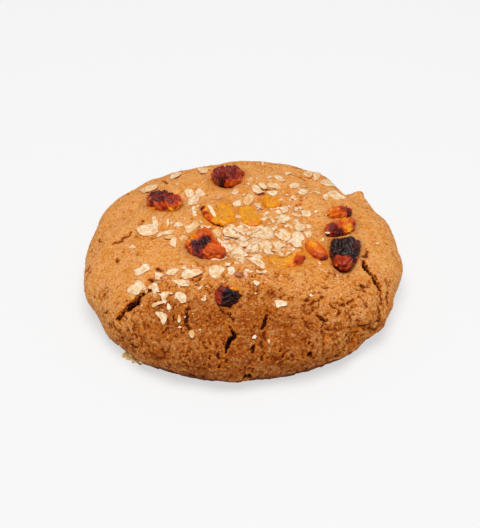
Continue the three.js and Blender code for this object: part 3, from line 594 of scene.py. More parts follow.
def path_distance(points, path):
    """Distance to a path's legs less the half width there, and the half width.

    Each leg is cut at the foot of the perpendicular, clipped to the leg, and the half
    width runs straight from one end of the leg to the other.
    """
    best = np.full(points.shape[:-1], np.inf)
    width = np.zeros(points.shape[:-1])
    for start, end in zip(path[:-1], path[1:]):
        leg = end[:3] - start[:3]
        share = np.clip((points - start[:3]) @ leg / (leg @ leg), 0, 1)
        half = start[3] + (end[3] - start[3]) * share
        gap = length_of(points - start[:3] - rows(share) * leg) - half
        width = np.where(gap < best, half, width)
        best = np.minimum(best, gap)
    return best, width


def outline_radius(azimuth):
    """Distance from the axis to the widest ring, which the slow waves make uneven."""
    radius = np.full(np.shape(azimuth), float(COOKIE_RADIUS))
    for count, height, crest in OUTLINE_WAVES:
        radius = radius + height * np.cos(count * (azimuth - math.radians(crest)))
    return radius


def smooth_point(azimuth, fall):
    """Smooth dough surface at an azimuth and a fall, the angle down from the top.

    Down to a right angle, the share of the outline's radius is sin(fall)^(2/2.3) and the
    height follows cos(fall). Below, a rounded foot curls in to the flat underside.
    """
    rim = np.pi / 2
    crown = np.sin(np.minimum(fall, rim)) ** (2 / CROWN_POWER)
    curl = rim * np.clip((fall - rim) / (UNDERSIDE_FALL - rim), 0, 1)
    foot = UNDERSIDE_SHARE + (1 - UNDERSIDE_SHARE) * np.cos(curl) ** (2 / FOOT_POWER)
    share = np.where(fall <= rim, crown, foot)
    top = BULGE_HEIGHT + (COOKIE_HEIGHT - BULGE_HEIGHT) * np.cos(np.minimum(fall, rim))
    low = BULGE_HEIGHT * (1 - np.sin(curl) ** (2 / FOOT_POWER))
    radius = share * outline_radius(azimuth)
    height = np.where(fall <= rim, top, low)
    return np.stack([radius * np.cos(azimuth), radius * np.sin(azimuth), height], axis=-1)


def lump_waves():
    """Wave vectors, phases and heights of the rolling lumps, from the seeded draws."""
    waves = []
    draws = seeded_draws(LUMP_SEED, 4 * LUMP_COUNT)
    for i in range(LUMP_COUNT):
        reach, turn, climb, phase = draws[4 * i : 4 * i + 4]
        length = LUMP_LENGTHS[0] + (LUMP_LENGTHS[1] - LUMP_LENGTHS[0]) * reach
        climb = 2 * climb - 1
        level = math.sqrt(1 - climb * climb)
        direction = np.array(
            [level * math.cos(2 * math.pi * turn), level * math.sin(2 * math.pi * turn), climb]
        )
        waves.append((direction * 2 * math.pi / length, 2 * math.pi * phase, LUMP_STEEPNESS * length))
    return waves


LUMPS = lump_waves()


def solid_share(points):
    """Below 1 inside the smooth dough and above 1 outside it.

    Over the widest ring it is (radius share)^2.3 + (height share)^2, and below that ring
    the same with the foot's power, both measured from where the foot begins to curl.
    """
    x, y, z = np.moveaxis(points, -1, 0)
    share = np.hypot(x, y) / outline_radius(np.arctan2(y, x))
    rise = np.maximum(z - BULGE_HEIGHT, 0) / (COOKIE_HEIGHT - BULGE_HEIGHT)
    curl = np.maximum(share - UNDERSIDE_SHARE, 0) / (1 - UNDERSIDE_SHARE)
    drop = np.maximum(BULGE_HEIGHT - z, 0) / BULGE_HEIGHT
    return np.where(z >= BULGE_HEIGHT, share**CROWN_POWER + rise**2, curl**FOOT_POWER + drop**FOOT_POWER)


def share_slope(points):
    """Slope of the share of the solid along the three axes, over 0.1 mm."""
    step = 0.05
    steps = step * np.eye(3)
    sides = [solid_share(points + side) - solid_share(points - side) for side in steps]
    return np.stack(sides, axis=-1) / (2 * step)


def crust_normal(points):
    """Outward direction of the smooth crust."""
    return unit(share_slope(points))


def onto_crust(points):
    """Points moved along the slope, by three Newton steps, until they lie on the crust."""
    for _ in range(3):
        slope = share_slope(points)
        points = points - slope * rows((solid_share(points) - 1) / np.sum(slope * slope, axis=-1))
    return points


def tangent_axes(normals):
    """X and Y turned by the shortest turn that takes Z onto each normal."""
    x, y, z = np.moveaxis(normals, -1, 0)
    along = np.stack([1 - x * x / (1 + z), -x * y / (1 + z), -x], axis=-1)
    across = np.stack([-x * y / (1 + z), 1 - y * y / (1 + z), -y], axis=-1)
    return along, across


def seen_on_crust(places):
    """Points of the smooth dough that are seen at places of the front view.

    The line of sight is walked in steps of 0.5 mm to the first point inside the dough, and
    the crossing is then halved closer. A line that misses takes its nearest point.
    """
    stride = 0.5
    places = np.asarray(places, float)
    back = np.array([0, -math.cos(VIEW_ELEVATION), math.sin(VIEW_ELEVATION)])
    up = np.array([0, math.sin(VIEW_ELEVATION), math.cos(VIEW_ELEVATION)])
    across = (places[..., 0] - VIEW_MIDDLE[0]) / (VIEW_SCALE * VIEW_DISTANCE)
    rise = (VIEW_MIDDLE[1] - places[..., 1]) / (VIEW_SCALE * VIEW_DISTANCE)
    way = rows(across) * np.array([1.0, 0, 0]) + rows(rise) * up - back
    eye = BOX_MIDDLE + VIEW_DISTANCE * back
    travel = VIEW_DISTANCE + np.arange(-60, 60, stride)
    share = solid_share(eye + way[..., None, :] * travel[:, None])
    inside = share < 1
    first = np.where(inside.any(-1), inside.argmax(-1), share.argmin(-1))
    far = travel[first]
    near = far - stride * inside.any(-1)
    for _ in range(12):
        middle = (near + far) / 2
        within = solid_share(eye + way * rows(middle)) < 1
        far = np.where(within, middle, far)
        near = np.where(within, near, middle)
    return eye + way * rows(far)


def path_on_crust(path):
    """A path's places on the crust, each with its half width in millimetres."""
    path = np.asarray(path, float)
    return np.concatenate([seen_on_crust(path[:, :2]), path[:, 2:] / VIEW_SCALE], axis=1)


def relief(points):
    """Height of the crust over the smooth surface, as in the part's source, but for one
    low swelling that fills the slope beside the notch's spike.

    The lumps' sine waves and the bell-shaped swellings are summed, and fade out towards
    the underside.
    """
    height = np.zeros(points.shape[:-1])
    for vector, phase, size in LUMPS:
        height += size * np.sin(points @ vector + phase)
    for azimuth, fall, radius, size in SWELLINGS:
        centre = smooth_point(np.radians(azimuth), np.radians(fall))
        gap = length_of(points - centre) / radius
        height += size * np.exp(-gap * gap)
    return height * fade(points[..., 2], 0.2, 3)


def crown_height(x, y):
    """Height of the smooth crown over a place."""
    share = np.minimum(np.hypot(x, y) / outline_radius(np.arctan2(y, x)), 1)
    return BULGE_HEIGHT + (COOKIE_HEIGHT - BULGE_HEIGHT) * np.sqrt(1 - share**CROWN_POWER)


def flat_outline(corners, lift):
    """A closed outline of the front view, laid flat on the crust `lift` above it.

    The results are the foot on the smooth crust, three axes and the corners along the
    first two. The first axis runs along the outline's longest spread, and the third is
    the crust's normal.
    """
    points = seen_on_crust(lowered(corners, lift))
    foot = onto_crust((points.min(axis=0) + points.max(axis=0)) / 2)
    normal = crust_normal(foot)
    along, across = tangent_axes(normal)
    flat = np.stack([(points - foot) @ along, (points - foot) @ across], axis=-1)
    spread_x, spread_y = flat.var(axis=0)
    turn = math.atan2(2 * np.mean(flat[:, 0] * flat[:, 1]), spread_x - spread_y) / 2
    cosine, sine = math.cos(turn), math.sin(turn)
    axes = np.stack([along * cosine + across * sine, across * cosine - along * sine, normal])
    return foot, axes, flat @ np.array([[cosine, -sine], [sine, cosine]])


def lowered(places, lift):
    """Places of the front view moved down to where the crust lies under a lifted point."""
    return np.asarray(places, float) + np.array([0, lift * VIEW_SCALE * math.cos(VIEW_ELEVATION)])


def grape_shares(points, grape):
    """Where points lie beside a grape: their share of its outline's radius.

    The share is taken in the plane that touches the crust, and grows by 3 between 6 and
    9 mm off that plane.
    """
    _, lift, _, _, _, corners = grape
    foot, axes, flat = flat_outline(corners, lift)
    local = (points - foot) @ axes.T
    angles = np.linspace(-np.pi, np.pi, 121)
    radii = radius_of_outline(flat, angles)
    reach = np.interp(np.arctan2(local[..., 1], local[..., 0]), angles, radii)
    return np.hypot(local[..., 0], local[..., 1]) / reach + 3 * fade(np.abs(local[..., 2]), 6, 9)


def linked_object(name, data):
    """A new object of the scene, at the origin."""
    made = bpy.data.objects.new(name, data)
    bpy.context.scene.collection.objects.link(made)
    return made


def new_piece(name, points, faces, material):
    """Mesh object of a piece, at the origin, from points in millimetres and faces."""
    mesh = bpy.data.meshes.new(name)
    placed = (np.asarray(points).reshape(-1, 3) - BOX_MIDDLE) * MM
    mesh.vertices.add(len(placed))
    mesh.vertices.foreach_set("co", placed.astype(np.float32).ravel())
    corners = np.concatenate([np.asarray(group).ravel() for group in faces])
    counts = np.concatenate([np.full(len(group), group.shape[1]) for group in faces])
    mesh.loops.add(len(corners))
    mesh.loops.foreach_set("vertex_index", corners.astype(np.int32))
    mesh.polygons.add(len(counts))
    starts = np.concatenate([[0], np.cumsum(counts)[:-1]])
    mesh.polygons.foreach_set("loop_start", starts.astype(np.int32))
    mesh.polygons.foreach_set("use_smooth", np.ones(len(counts), bool))
    mesh.update(calc_edges=True)
    mesh.validate()
    mesh.materials.append(material)
    piece = linked_object(name, mesh)
    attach(piece, "root")
    return piece


def add_attribute(piece, name, values):
    """One number for each vertex, which the material reads by name."""
    attribute = piece.data.attributes.new(name, "FLOAT", "POINT")
    attribute.data.foreach_set("value", np.asarray(values, np.float32).ravel())


def add_bake_map(piece, corners_uv):
    """UV map, one place for each face corner."""
    layer = piece.data.uv_layers.new(name="OFBake")
    layer.data.foreach_set("uv", np.asarray(corners_uv, np.float32).ravel())


def square_grid(cells):
    """Quads of a square grid of points, seen from +Z anticlockwise."""
    index = np.arange((cells + 1) ** 2).reshape(cells + 1, cells + 1)
    corners = (index[:-1, :-1], index[1:, :-1], index[1:, 1:], index[:-1, 1:])
    return np.stack([corner.ravel() for corner in corners], axis=1)


def square_rim(cells):
    """Indices of a square grid's outer points, anticlockwise from its first corner."""
    index = np.arange((cells + 1) ** 2).reshape(cells + 1, cells + 1)
    return np.concatenate([index[:-1, 0], index[-1, :-1], index[:0:-1, -1], index[0, :0:-1]])


def disc_from_square(cells):
    """Concentric rings from a square grid: the azimuth and the radius share of each point.

    The radius is the larger of |u| and |v|, and the azimuth runs evenly along each side
    of the square ring, so that cells keep about the same size all over the disc.
    """
    side = np.linspace(-1, 1, cells + 1)
    u, v = np.meshgrid(side, side, indexing="ij")
    radius = np.maximum(np.abs(u), np.abs(v))
    safe = np.maximum(radius, 1e-9)
    side_u, side_v = np.where(u >= 0, 1, -1), np.where(v >= 0, 1, -1)
    flat = np.where(u >= 0, 0, np.pi) + np.pi / 4 * v / safe * side_u
    steep = np.pi / 2 * side_v - np.pi / 4 * u / safe * side_v
    return np.where(np.abs(u) >= np.abs(v), flat, steep), radius


def even_falls(shares):
    """Falls at even steps along the profile, from 0 at the top to the underside's edge."""
    samples = np.linspace(0, UNDERSIDE_FALL, 4001)
    profile = smooth_point(np.zeros(samples.shape), samples)
    travel = np.concatenate([[0], np.cumsum(length_of(np.diff(profile, axis=0)))])
    return np.interp(shares * travel[-1], travel, samples)


def smooth_normals(azimuth, fall):
    """Unit normals of the smooth surface: across its two directions, by differences."""
    step = 1e-3
    high = smooth_point(azimuth, np.maximum(fall - step, 1e-4))
    low = smooth_point(azimuth, np.minimum(fall + step, UNDERSIDE_FALL))
    fall = np.maximum(fall, 2 * step)
    after = smooth_point(azimuth + step, fall)
    before = smooth_point(azimuth - step, fall)
    return unit(np.cross(low - high, after - before))


def cell_gaps(points, size, seed):
    """Distances to the three nearest seeds of a jittered lattice, nearest first.

    Each whole-number cell holds one seed at a random place, and the 27 cells round each
    point are looked through. The crumb breaks apart where two seeds are equally near.
    """
    scaled = points / size
    cell = np.floor(scaled)
    gaps = []
    for step in np.ndindex(3, 3, 3):
        corner = cell + np.array(step) - 1
        place = corner + np.stack([lattice_draws(corner, seed + k) for k in range(3)], axis=-1)
        gaps.append(length_of(scaled - place))
    return size * np.partition(np.stack(gaps), 2, axis=0)[:3]


def crumb_seams(points, bent, rough):
    """Distance to the nearest seam between clumps, and how far a pit opens.

    Seams of three sizes run where two lattice seeds are equally near, and open to pits
    where three are. They show in patches, and more where the crust is rough.
    """
    seam = np.full(rough.shape, FAR)
    pit = np.zeros(rough.shape)
    for size, seed, cover in CLUMPS:
        one, two, three = np.sort(cell_gaps(bent, size, seed), axis=0)
        patches = gradient_noise(points / (0.8 * size), seed + 4)
        shown = fade(patches + 0.7 * rough + cover, 0.45, 0.9)
        seam = np.minimum(seam, (two - one) / 2 + 0.7 * (1 - shown))
        pit = np.maximum(pit, (1 - fade(three - one, 0.2, 0.7)) * shown * rough)
    return seam, pit


def crack_cuts(points, jitter):
    """What the cracks and fissures cut away, the distance to the nearest of them, and
    how deep it is, from 0 to 1.

    The distance to each path's edge is made ragged by the jitter, more where the path is
    wide, and the cut fades in across the edge.
    """
    cut = np.zeros(jitter.shape)
    crack = np.full(jitter.shape, FAR)
    deep = np.zeros(jitter.shape)
    for depth, places in CRACKS + FISSURES:
        path = path_on_crust(places)
        middle = path[:, :3].mean(0)
        reach = length_of(path[:, :3] - middle).max() + 2 * FAR
        near = np.flatnonzero(length_of(points - middle) < reach)
        gap, half = path_distance(points[near], path)
        gap += 0.04 + jitter[near] * np.minimum(0.4 + half / 0.6, 1.2)
        inside = 1 - fade(gap, -0.25, 0.24)
        cut[near] = np.maximum(cut[near], depth * inside * np.minimum(0.5 + half, 1))
        crack[near] = np.minimum(crack[near], gap)
        beside = (1 - fade(gap, 0.4, 1.0)) * min(0.3 + depth / 4, 1)
        deep[near] = np.maximum(deep[near], beside)
    return cut, crack, deep


def crust_detail(points, settings):
    """Fine relief of the crust in millimetres, and its masks for the material.

    Rough ground is the front and the lower rim; the lobes at the left, right and back
    keep a smoother skin. Layered noise makes the waviness. The seams, pits and grains of
    the crumb lie over it, then the named cracks and fissures, the ledge and the dent.
    """
    x, y, z = np.moveaxis(points, -1, 0)
    front = fade(-y, 7, 33) * (1 - 0.4 * fade(-x, 20, 38))
    hidden = fade(y, 20, 44) * fade(np.hypot(x, y), 34, 43)
    ragged = 0.5 + 0.5 * gradient_noise(points / 13, ROUGH_SEED)
    rough = np.clip(0.22 + 0.78 * front + 0.3 * hidden + 0.35 * (ragged - 0.5), 0.12, 1)
    half_rough = 0.5 + 0.5 * rough

    bend = [layered_noise(points, 1.9, BEND_SEED + k, layers=2) for k in range(3)]
    bent = points + 0.55 * np.stack(bend, axis=-1)
    seam, pit = crumb_seams(points, bent, rough)
    grain = gradient_noise(bent / COARSE_GRAIN[0], COARSE_GRAIN[1])
    grain += 0.8 * gradient_noise(points / FINE_GRAIN[0], FINE_GRAIN[1])
    wavy = layered_noise(points, WAVE_SIZE, WAVE_SEED, layers=3)
    height = settings.waviness / MM * wavy * (0.45 + 0.55 * rough)
    height -= settings.seam_depth / MM * (1 - fade(seam, 0, 0.4)) * half_rough
    height += settings.grain_height / MM * grain * half_rough
    height -= settings.pit_depth / MM * pit

    jitter = 0.24 * gradient_noise(points / 0.9, JITTER_SEEDS[0])
    jitter += 0.3 * gradient_noise(points / 1.9, JITTER_SEEDS[1])
    cut, crack, deep = crack_cuts(points, jitter)
    height = height * (1 - 0.7 * np.minimum(cut / 2, 1)) - cut

    ledge_gap, _ = path_distance(points, path_on_crust(LEDGE))
    dent_gap, _ = path_distance(points, path_on_crust(DENT))
    ledge = 1 - fade(ledge_gap + 2 * jitter, -0.4, 0.9)
    dent = 1 - fade(dent_gap + 2 * jitter, -0.5, 0.5)
    height -= LEDGE_DEPTH * ledge + DENT_DEPTH * dent

    # Darker towards the front: partly a darker bake, and partly painted shade on the front wall, where
    # little light reaches.
    browned = fade(-y + 6 * (ragged - 0.5), 22, 36) * (1 - 0.8 * fade(np.abs(x + 3), 14, 34))
    browned *= 0.7 + 0.5 * fade(gradient_noise(points / 7, BAKE_SEED), -0.3, 0.3)
    masks = {
        "rough": rough,
        "seam": seam,
        "pit": pit,
        "crack": crack,
        "deep": deep,
        "ledge": np.maximum(ledge, 0.8 * dent),
        # Raised grains, which the material paints paler as a painted highlight.
        "grain": fade(grain, 0.1, 1.1),
        "browned": np.minimum(browned, 1),
    }
    return height * fade(z, 0.05, 1.2), masks


def polar(reach, turn):
    """Points in a plane from their distances and directions."""
    return np.stack([reach * np.cos(turn), reach * np.sin(turn)], axis=-1)


def dough_piece(settings, material):
    """The dough, with a bed for each grape and a flat underside.

    A disc of concentric rings is laid over the crown and rim, and moved along the smooth
    surface's normals by the relief and the crust detail. Below, rings halve their points
    three times on the way to the middle.
    """
    cells = settings.cells
    azimuth, share = [values.ravel() for values in disc_from_square(cells)]
    fall = even_falls(share**0.82)
    base = smooth_point(azimuth, fall)
    normal = smooth_normals(azimuth, fall)
    normal = np.where(rows(fall) < 1e-3, np.array([0.0, 0.0, 1.0]), normal)
    height, masks = crust_detail(base, settings)
    ground = relief(base)
    height = height + ground
    masks["soak"] = np.zeros(len(base))
    masks["dark_grape_ring"] = np.zeros(len(base))
    for grape in GRAPES:
        near = grape_shares(base, grape)
        under = 1 - fade(near, 0.7, 1.02)
        lip = np.exp(-(((near - 1.28) / 0.16) ** 2))
        height = height * (1 - under) + under * (ground - BED_DEPTH) + BED_LIP * lip
        mask, spread_to = ("soak", 2.0) if grape[0].startswith("sultana") else ("dark_grape_ring", 1.7)
        masks[mask] = np.maximum(masks[mask], 1 - fade(near, 1.0, spread_to))
    # Darker towards the foot: the underside's own darker bake, and painted contact shade on the lowest few
    # millimetres of the rim.
    edge = 0.8 * gradient_noise(base / 3, UNDERSIDE_SEED)
    masks["underside"] = 1 - fade(base[:, 2] + edge, 2.2, 3.8)
    points = base + normal * rows(height)
    points[:, 2] = np.maximum(points[:, 2], 0)

    rim = square_rim(cells)
    rings, quads, triangles = underside(points[rim], len(points), rim)
    every = np.concatenate([points, *rings])
    faces = [square_grid(cells), quads, triangles]
    piece = new_piece("baked_dough", every, faces, material)
    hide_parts("cookie")
    low = every[len(points):]
    pitted = fade(-gradient_noise(low / 1.6, PITTED_SEED), 0.25, 0.8)
    below = {"rough": 0.6, "seam": FAR, "pit": pitted, "crack": FAR, "underside": 1}
    for name, mask in masks.items():
        whole = np.concatenate([mask, below.get(name, 0) + np.zeros(len(low))])
        add_attribute(piece, name, whole)

    # The crown and rim fill most of the map, and the underside its far corner.
    turn = np.concatenate([azimuth, np.arctan2(low[:, 1], low[:, 0])])
    top_uv = 0.42 + 0.415 * polar(np.concatenate([share, np.ones(len(low))]), turn)
    low_reach = np.hypot(every[:, 0], every[:, 1]) / (COOKIE_RADIUS * UNDERSIDE_SHARE)
    low_uv = 0.838 + 0.15 * polar(low_reach, turn)
    corners = np.concatenate([group.ravel() for group in faces])
    on_top = np.arange(len(corners)) < faces[0].size
    add_bake_map(piece, np.where(on_top[:, None], top_uv[corners], low_uv[corners]))


def underside(edge, first, rim):
    """Rings, quads and triangles of the flat underside, from its edge to its middle.

    A halving ring joins two points outside to one inside with three triangles. The rings
    between lie at even shares of the edge's radius and carry shallow dimples.
    """
    rings, quads, triangles = [], [], []
    outer = rim
    following = first
    for i, share in enumerate(UNDERSIDE_RINGS):
        if i in HALVING_RINGS:
            edge = edge[::2]
        ring = edge * share * np.array([1, 1, 0])
        dimple = fade(layered_noise(ring, DIMPLE_SIZE, UNDERSIDE_SEED, layers=2), 0.1, 0.9)
        ring[:, 2] = DIMPLE_HEIGHT * dimple * (1 - fade(share, 0.93, 0.985))
        inner = following + np.arange(len(ring))
        following += len(ring)
        rings.append(ring)
        after = np.roll(inner, -1)
        if i in HALVING_RINGS:
            one, two = outer[::2], outer[1::2]
            three = np.roll(one, -1)
            for trio in ((two, one, inner), (three, two, after), (after, two, inner)):
                triangles.append(np.stack(trio, axis=1))
        else:
            quads.append(np.stack([outer, inner, after, np.roll(outer, -1)], axis=1))
        outer = inner
    rings.append(np.zeros((1, 3)))
    fan = np.stack([np.roll(outer, -1), outer, np.full(len(outer), following)], axis=1)
    return rings, np.concatenate(quads), np.concatenate([*triangles, fan])


def cube_ball(cells):
    """Points of a unit ball from the six faces of a cube, with quads facing outwards.

    Each face's two parameters run through the tangent, so that the cells stay even, and
    the edge points that two faces share are merged. The map lays the faces side by side.
    """
    side = np.tan(np.linspace(-1, 1, cells + 1) * np.pi / 4)
    a, b = np.meshgrid(side, side, indexing="ij")
    one = np.ones(a.shape)
    maps = [(one, a, b), (-one, b, a), (b, one, a), (a, -one, b), (a, b, one), (b, a, -one)]
    points = np.concatenate([unit(np.stack(m, -1)).reshape(-1, 3) for m in maps])
    quads = np.concatenate([square_grid(cells) + i * a.size for i in range(6)])
    merged = np.round(points, 6) + 0.0
    _, first, back = np.unique(merged, axis=0, return_index=True, return_inverse=True)
    even = np.linspace(0, 1, cells + 1)
    corner = np.stack(np.meshgrid(even, even, indexing="ij"), -1).reshape(-1, 2)
    chart = np.repeat(np.arange(6), a.size)
    cell = np.stack([chart % 3, chart // 3], 1)
    uv = (np.tile(corner, (6, 1)) * 0.94 + 0.03 + cell) / np.array([3, 2])
    return points[first], back.reshape(-1)[quads], uv[quads].reshape(-1, 2)


def place_on_grape(place, foot, axes, lift, thickness):
    """Where a place of the front view lies along and across a grape, near its top."""
    point = seen_on_crust(lowered([place], lift + 0.3 * thickness))[0]
    return axes[:2] @ (point - foot)


def grape_radii(flat, angles):
    """A grape's outline radii at even angles, with the corners rounded over 12 degrees."""
    radii = radius_of_outline(flat, angles)[:-1]
    radii = (np.roll(radii, 6) + 2 * radii + np.roll(radii, -6)) / 4
    return np.append(radii, radii[0])


def ridges(points, seed):
    """Sharp ridges with round valleys: 1 less 2.4 times the size of a noise, over -1."""
    return np.clip(1 - 2.4 * np.abs(gradient_noise(points, seed)), -1, 1)


def skin_folds(skin, away, upper, seed):
    """Folds of a dried skin: rays from the pucker, long ridges and short ones.

    The rays are a triangle wave round the pucker, on the upper side alone. The long
    ridges are a stretched noise, whose places drift by a second one.
    """
    drift = [gradient_noise(skin / 2.0, 10 * seed + k) for k in range(3)]
    drifted = skin + 0.7 * np.stack(drift, axis=-1)
    turned = np.arctan2(away[1], away[0]) + 0.5 * gradient_noise(skin / 2.4, 40 + seed)
    count = 9 + seed % 4
    rays = 1 - 2 * np.abs((turned * count / (2 * np.pi)) % 1 - 0.5) * 2
    rays = rays * fade(np.hypot(*away), 0.05, 0.4) * upper
    long_ridges = ridges(drifted / np.array([2.4, 1.4, 1.4]), 300 + seed)
    return rays, long_ridges, ridges(drifted / 0.6, 400 + seed)


def grape_piece(grape, seed, settings, material, slot):
    """One dried grape: the source's ball with a cornered outline, under finer wrinkles.

    Folds run out from the pucker, where the skin has drawn together, and meet ridges that
    run along the grape. The char of the skin is kept at each vertex.
    """
    name, lift, thickness, flare, tear, corners = grape
    body, rim_char, pucker, spots = CHAR[name]
    ball, quads, corners_uv = cube_ball(settings.cells)
    x, y, z = ball.T
    foot, axes, flat = flat_outline(corners, lift)
    angles = np.linspace(-np.pi, np.pi, 181)
    radii = grape_radii(flat, angles)
    size = radii.mean()
    reach = np.interp(np.arctan2(y, x), angles, radii)
    flat_x, flat_y = x * reach * (1 + flare * z), y * reach * (1 + flare * z)
    half_sizes = np.array([size, size, thickness / 2])
    skin = ball * half_sizes
    near = np.array([flat_x, flat_y]) / size
    away = near - place_on_grape(pucker, foot, axes, lift, thickness)[:, None] / size
    rays, folds, small = skin_folds(skin, away, z > -0.2, seed)

    rise = settings.wrinkle / MM * (0.5 * rays + 0.75 * (folds - 0.45) + 0.3 * (small - 0.4))
    rise -= 0.5 * np.exp(-((np.hypot(*away) / 0.2) ** 2)) * (z > 0)
    rise += 0.06 * gradient_noise(skin / 0.33, 500 + seed)
    rise *= min(thickness / 4, 1)
    sunk = tear * np.maximum(z, 0) * np.exp(-((near[0] / 0.35) ** 2))
    dished = np.zeros(x.shape)
    if slot == "sultana":
        rise *= settings.golden_share
        from_middle = np.hypot(x, y) + 0.2 * gradient_noise(skin / 2.2, 700 + seed)
        dished = (1 - fade(from_middle, 0.35, 0.85)) * (z > 0)
        sunk += settings.dish / MM * dished
    height = np.sign(z) * np.abs(z) ** 0.9 * thickness / 2 - sunk
    local = np.stack([flat_x, flat_y, height], axis=-1) + unit(ball / half_sizes) * rows(rise)
    middle = foot + axes[2] * (relief(foot) + lift)
    piece = new_piece(name + "_skin", middle + local @ axes, [quads], material)
    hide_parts(name)

    blotch = 0.16 * layered_noise(skin, 2.4, 600 + seed, layers=3)
    char = np.full(x.shape, float(body))
    char += (rim_char - char) * (1 - fade(z + 1.4 * blotch, -0.1, 0.4))
    for across, down, radius, level in spots:
        spot = place_on_grape((across, down), foot, axes, lift, thickness)
        gap = np.hypot(local[:, 0] - spot[0], local[:, 1] - spot[1]) + 3 * blotch
        inner, outer = 0.6 * radius / VIEW_SCALE, 1.5 * radius / VIEW_SCALE
        char += (level - char) * (1 - fade(gap, inner, outer))
    char += 0.3 * blotch - 0.1 * dished
    add_attribute(piece, "char", np.clip(char, 0, 1))
    add_attribute(piece, "fold", np.clip(0.5 + 0.35 * folds + 0.3 * rays, 0, 1))
    add_bake_map(piece, corners_uv)


def ragged_ovals(angles, draws):
    """Radius of a broken, ragged oval at each angle.

    Each oval is 0.5 to 0.9 as wide as long, and is cut by four straight breaks: a break
    at a distance c in a direction t keeps the radius under c / cos(angle - t).
    """
    width = 0.5 + 0.4 * draws[:, :1]
    radius = 1 / np.hypot(np.cos(angles), np.sin(angles) / width)
    for k in range(4):
        direction = 2 * np.pi * draws[:, 1 + k : 2 + k]
        whole = np.hypot(np.cos(direction), width * np.sin(direction))
        reach = (0.6 + 0.4 * draws[:, 5 + k : 6 + k]) * whole
        facing = np.maximum(np.cos(angles - direction), 0.05)
        radius = np.minimum(radius, reach / facing)
    return radius


def radius_of_outline(corners, angles):
    """Distance from the origin to a closed outline of straight edges, at each angle.

    A ray in the direction d crosses the edge from p to p + e at cross(p, e) / cross(d, e),
    if cross(p, d) / cross(d, e) lies between 0 and 1.
    """
    edges = np.roll(corners, -1, axis=0) - corners
    ray_x, ray_y = np.cos(angles)[:, None], np.sin(angles)[:, None]
    across = ray_x * edges[:, 1] - ray_y * edges[:, 0]
    across = np.where(np.abs(across) < 1e-9, 1e-9, across)
    reach = (corners[:, 0] * edges[:, 1] - corners[:, 1] * edges[:, 0]) / across
    share = (corners[:, 0] * ray_y - corners[:, 1] * ray_x) / across
    hit = (share >= -1e-6) & (share <= 1 + 1e-6) & (reach > 0)
    return np.where(hit, reach, 0.2).max(axis=1)


def named_flakes(angles):
    """Middle, two axes, outline radii and tone of each named flake.

    The grain runs along the first axis, and the corners are rounded a little.
    """
    disc_tone, across, down, radius = DISC_FLAKE
    disc = np.array([across, down]) + radius * polar(1, np.arange(10) * math.pi / 5)
    groups = []
    for tone, corners in [*FLAKES, (disc_tone, disc)]:
        foot, axes, flat = flat_outline(corners, 0)
        radii = radius_of_outline(flat, angles)
        radii = (np.roll(radii, 1) + 6 * radii + np.roll(radii, -1)) / 8
        groups.append((foot, axes[0], axes[1], radii, tone))
    return [np.array(group) for group in zip(*groups)]


def scattered_bits(angles, seed):
    """What named_flakes gives, for small bits strewn in patches beside the dried grapes."""
    source = np.random.default_rng(seed)
    places, sizes = [], []
    for (x, y), radius, count, small, large in BIT_PATCHES:
        reach = radius * np.sqrt(source.random(count))
        places.append(np.array([x, y]) + polar(reach, 2 * np.pi * source.random(count)))
        sizes.append(small + (large - small) * source.random(count) ** 2.2)
    places, sizes = np.concatenate(places), np.concatenate(sizes)
    middles = onto_crust(np.stack([*places.T, crown_height(*places.T)], axis=-1))
    clear = np.ones(len(middles), bool)
    for grape in GRAPES:
        clear &= grape_shares(middles, grape) > 0.95
    middles, sizes = middles[clear], sizes[clear]
    along, across = tangent_axes(crust_normal(middles))
    turn = rows(2 * np.pi * source.random(len(middles)))
    radii = ragged_ovals(angles, source.random((len(middles), 9))) * rows(sizes / 2)
    tones = 0.05 + 0.8 * source.random(len(middles)) ** 1.5
    first = along * np.cos(turn) + across * np.sin(turn)
    second = across * np.cos(turn) - along * np.sin(turn)
    return middles, first, second, radii, tones


def flake_rise(along, across, size, draws, settings):
    """How far the points of each flake lie over its flat ground.

    The flake is cupped across and arched along by parabolas, tilts, ripples by two slow
    waves, and curls up towards one side by a square.
    """
    part = dict(zip(("cup", "arch", "tip", "roll", "slow", "quick", "side", "curl"), draws))
    large = np.minimum(size / LARGE_FLAKE, 1)
    rise = 0.1 * (across / size) ** 2 * large * part["cup"]
    rise -= 0.06 * (along / size) ** 2 * part["arch"]
    rise += 0.12 * (part["tip"] - 0.5) * along / size + 0.16 * (part["roll"] - 0.5) * across / size
    rise += 0.05 * large * np.sin(2.1 * along + 1.5 * across + TURN * part["slow"])
    rise += 0.02 * large * np.sin(4.5 * across - 2.5 * along + TURN * part["quick"])
    curl = (along * np.cos(TURN * part["side"]) + across * np.sin(TURN * part["side"])) / size
    return rise + settings.curl / MM * part["curl"] ** 2 * large * np.maximum(curl, 0) ** 2


def flake_faces(count, sides, rings):
    """Triangles and quads of all flakes: on both sides a fan and bands, and a thin edge."""
    per = 1 + rings * sides
    ring = 1 + np.arange(rings * sides).reshape(rings, sides)
    after = np.roll(ring, -1, axis=1)
    fan = np.stack([np.zeros(sides, int), ring[0], after[0]], 1)
    band = np.stack([ring[:-1], ring[1:], after[1:], after[:-1]], -1).reshape(-1, 4)
    edge = np.stack([ring[-1], ring[-1] + per, after[-1] + per, after[-1]], 1)
    start = (2 * per * np.arange(count))[:, None, None]
    triangles = np.concatenate([fan, fan[:, ::-1] + per])[None] + start
    quads = np.concatenate([band, band[:, ::-1] + per, edge])[None] + start
    return triangles.reshape(-1, 3), quads.reshape(-1, 4)


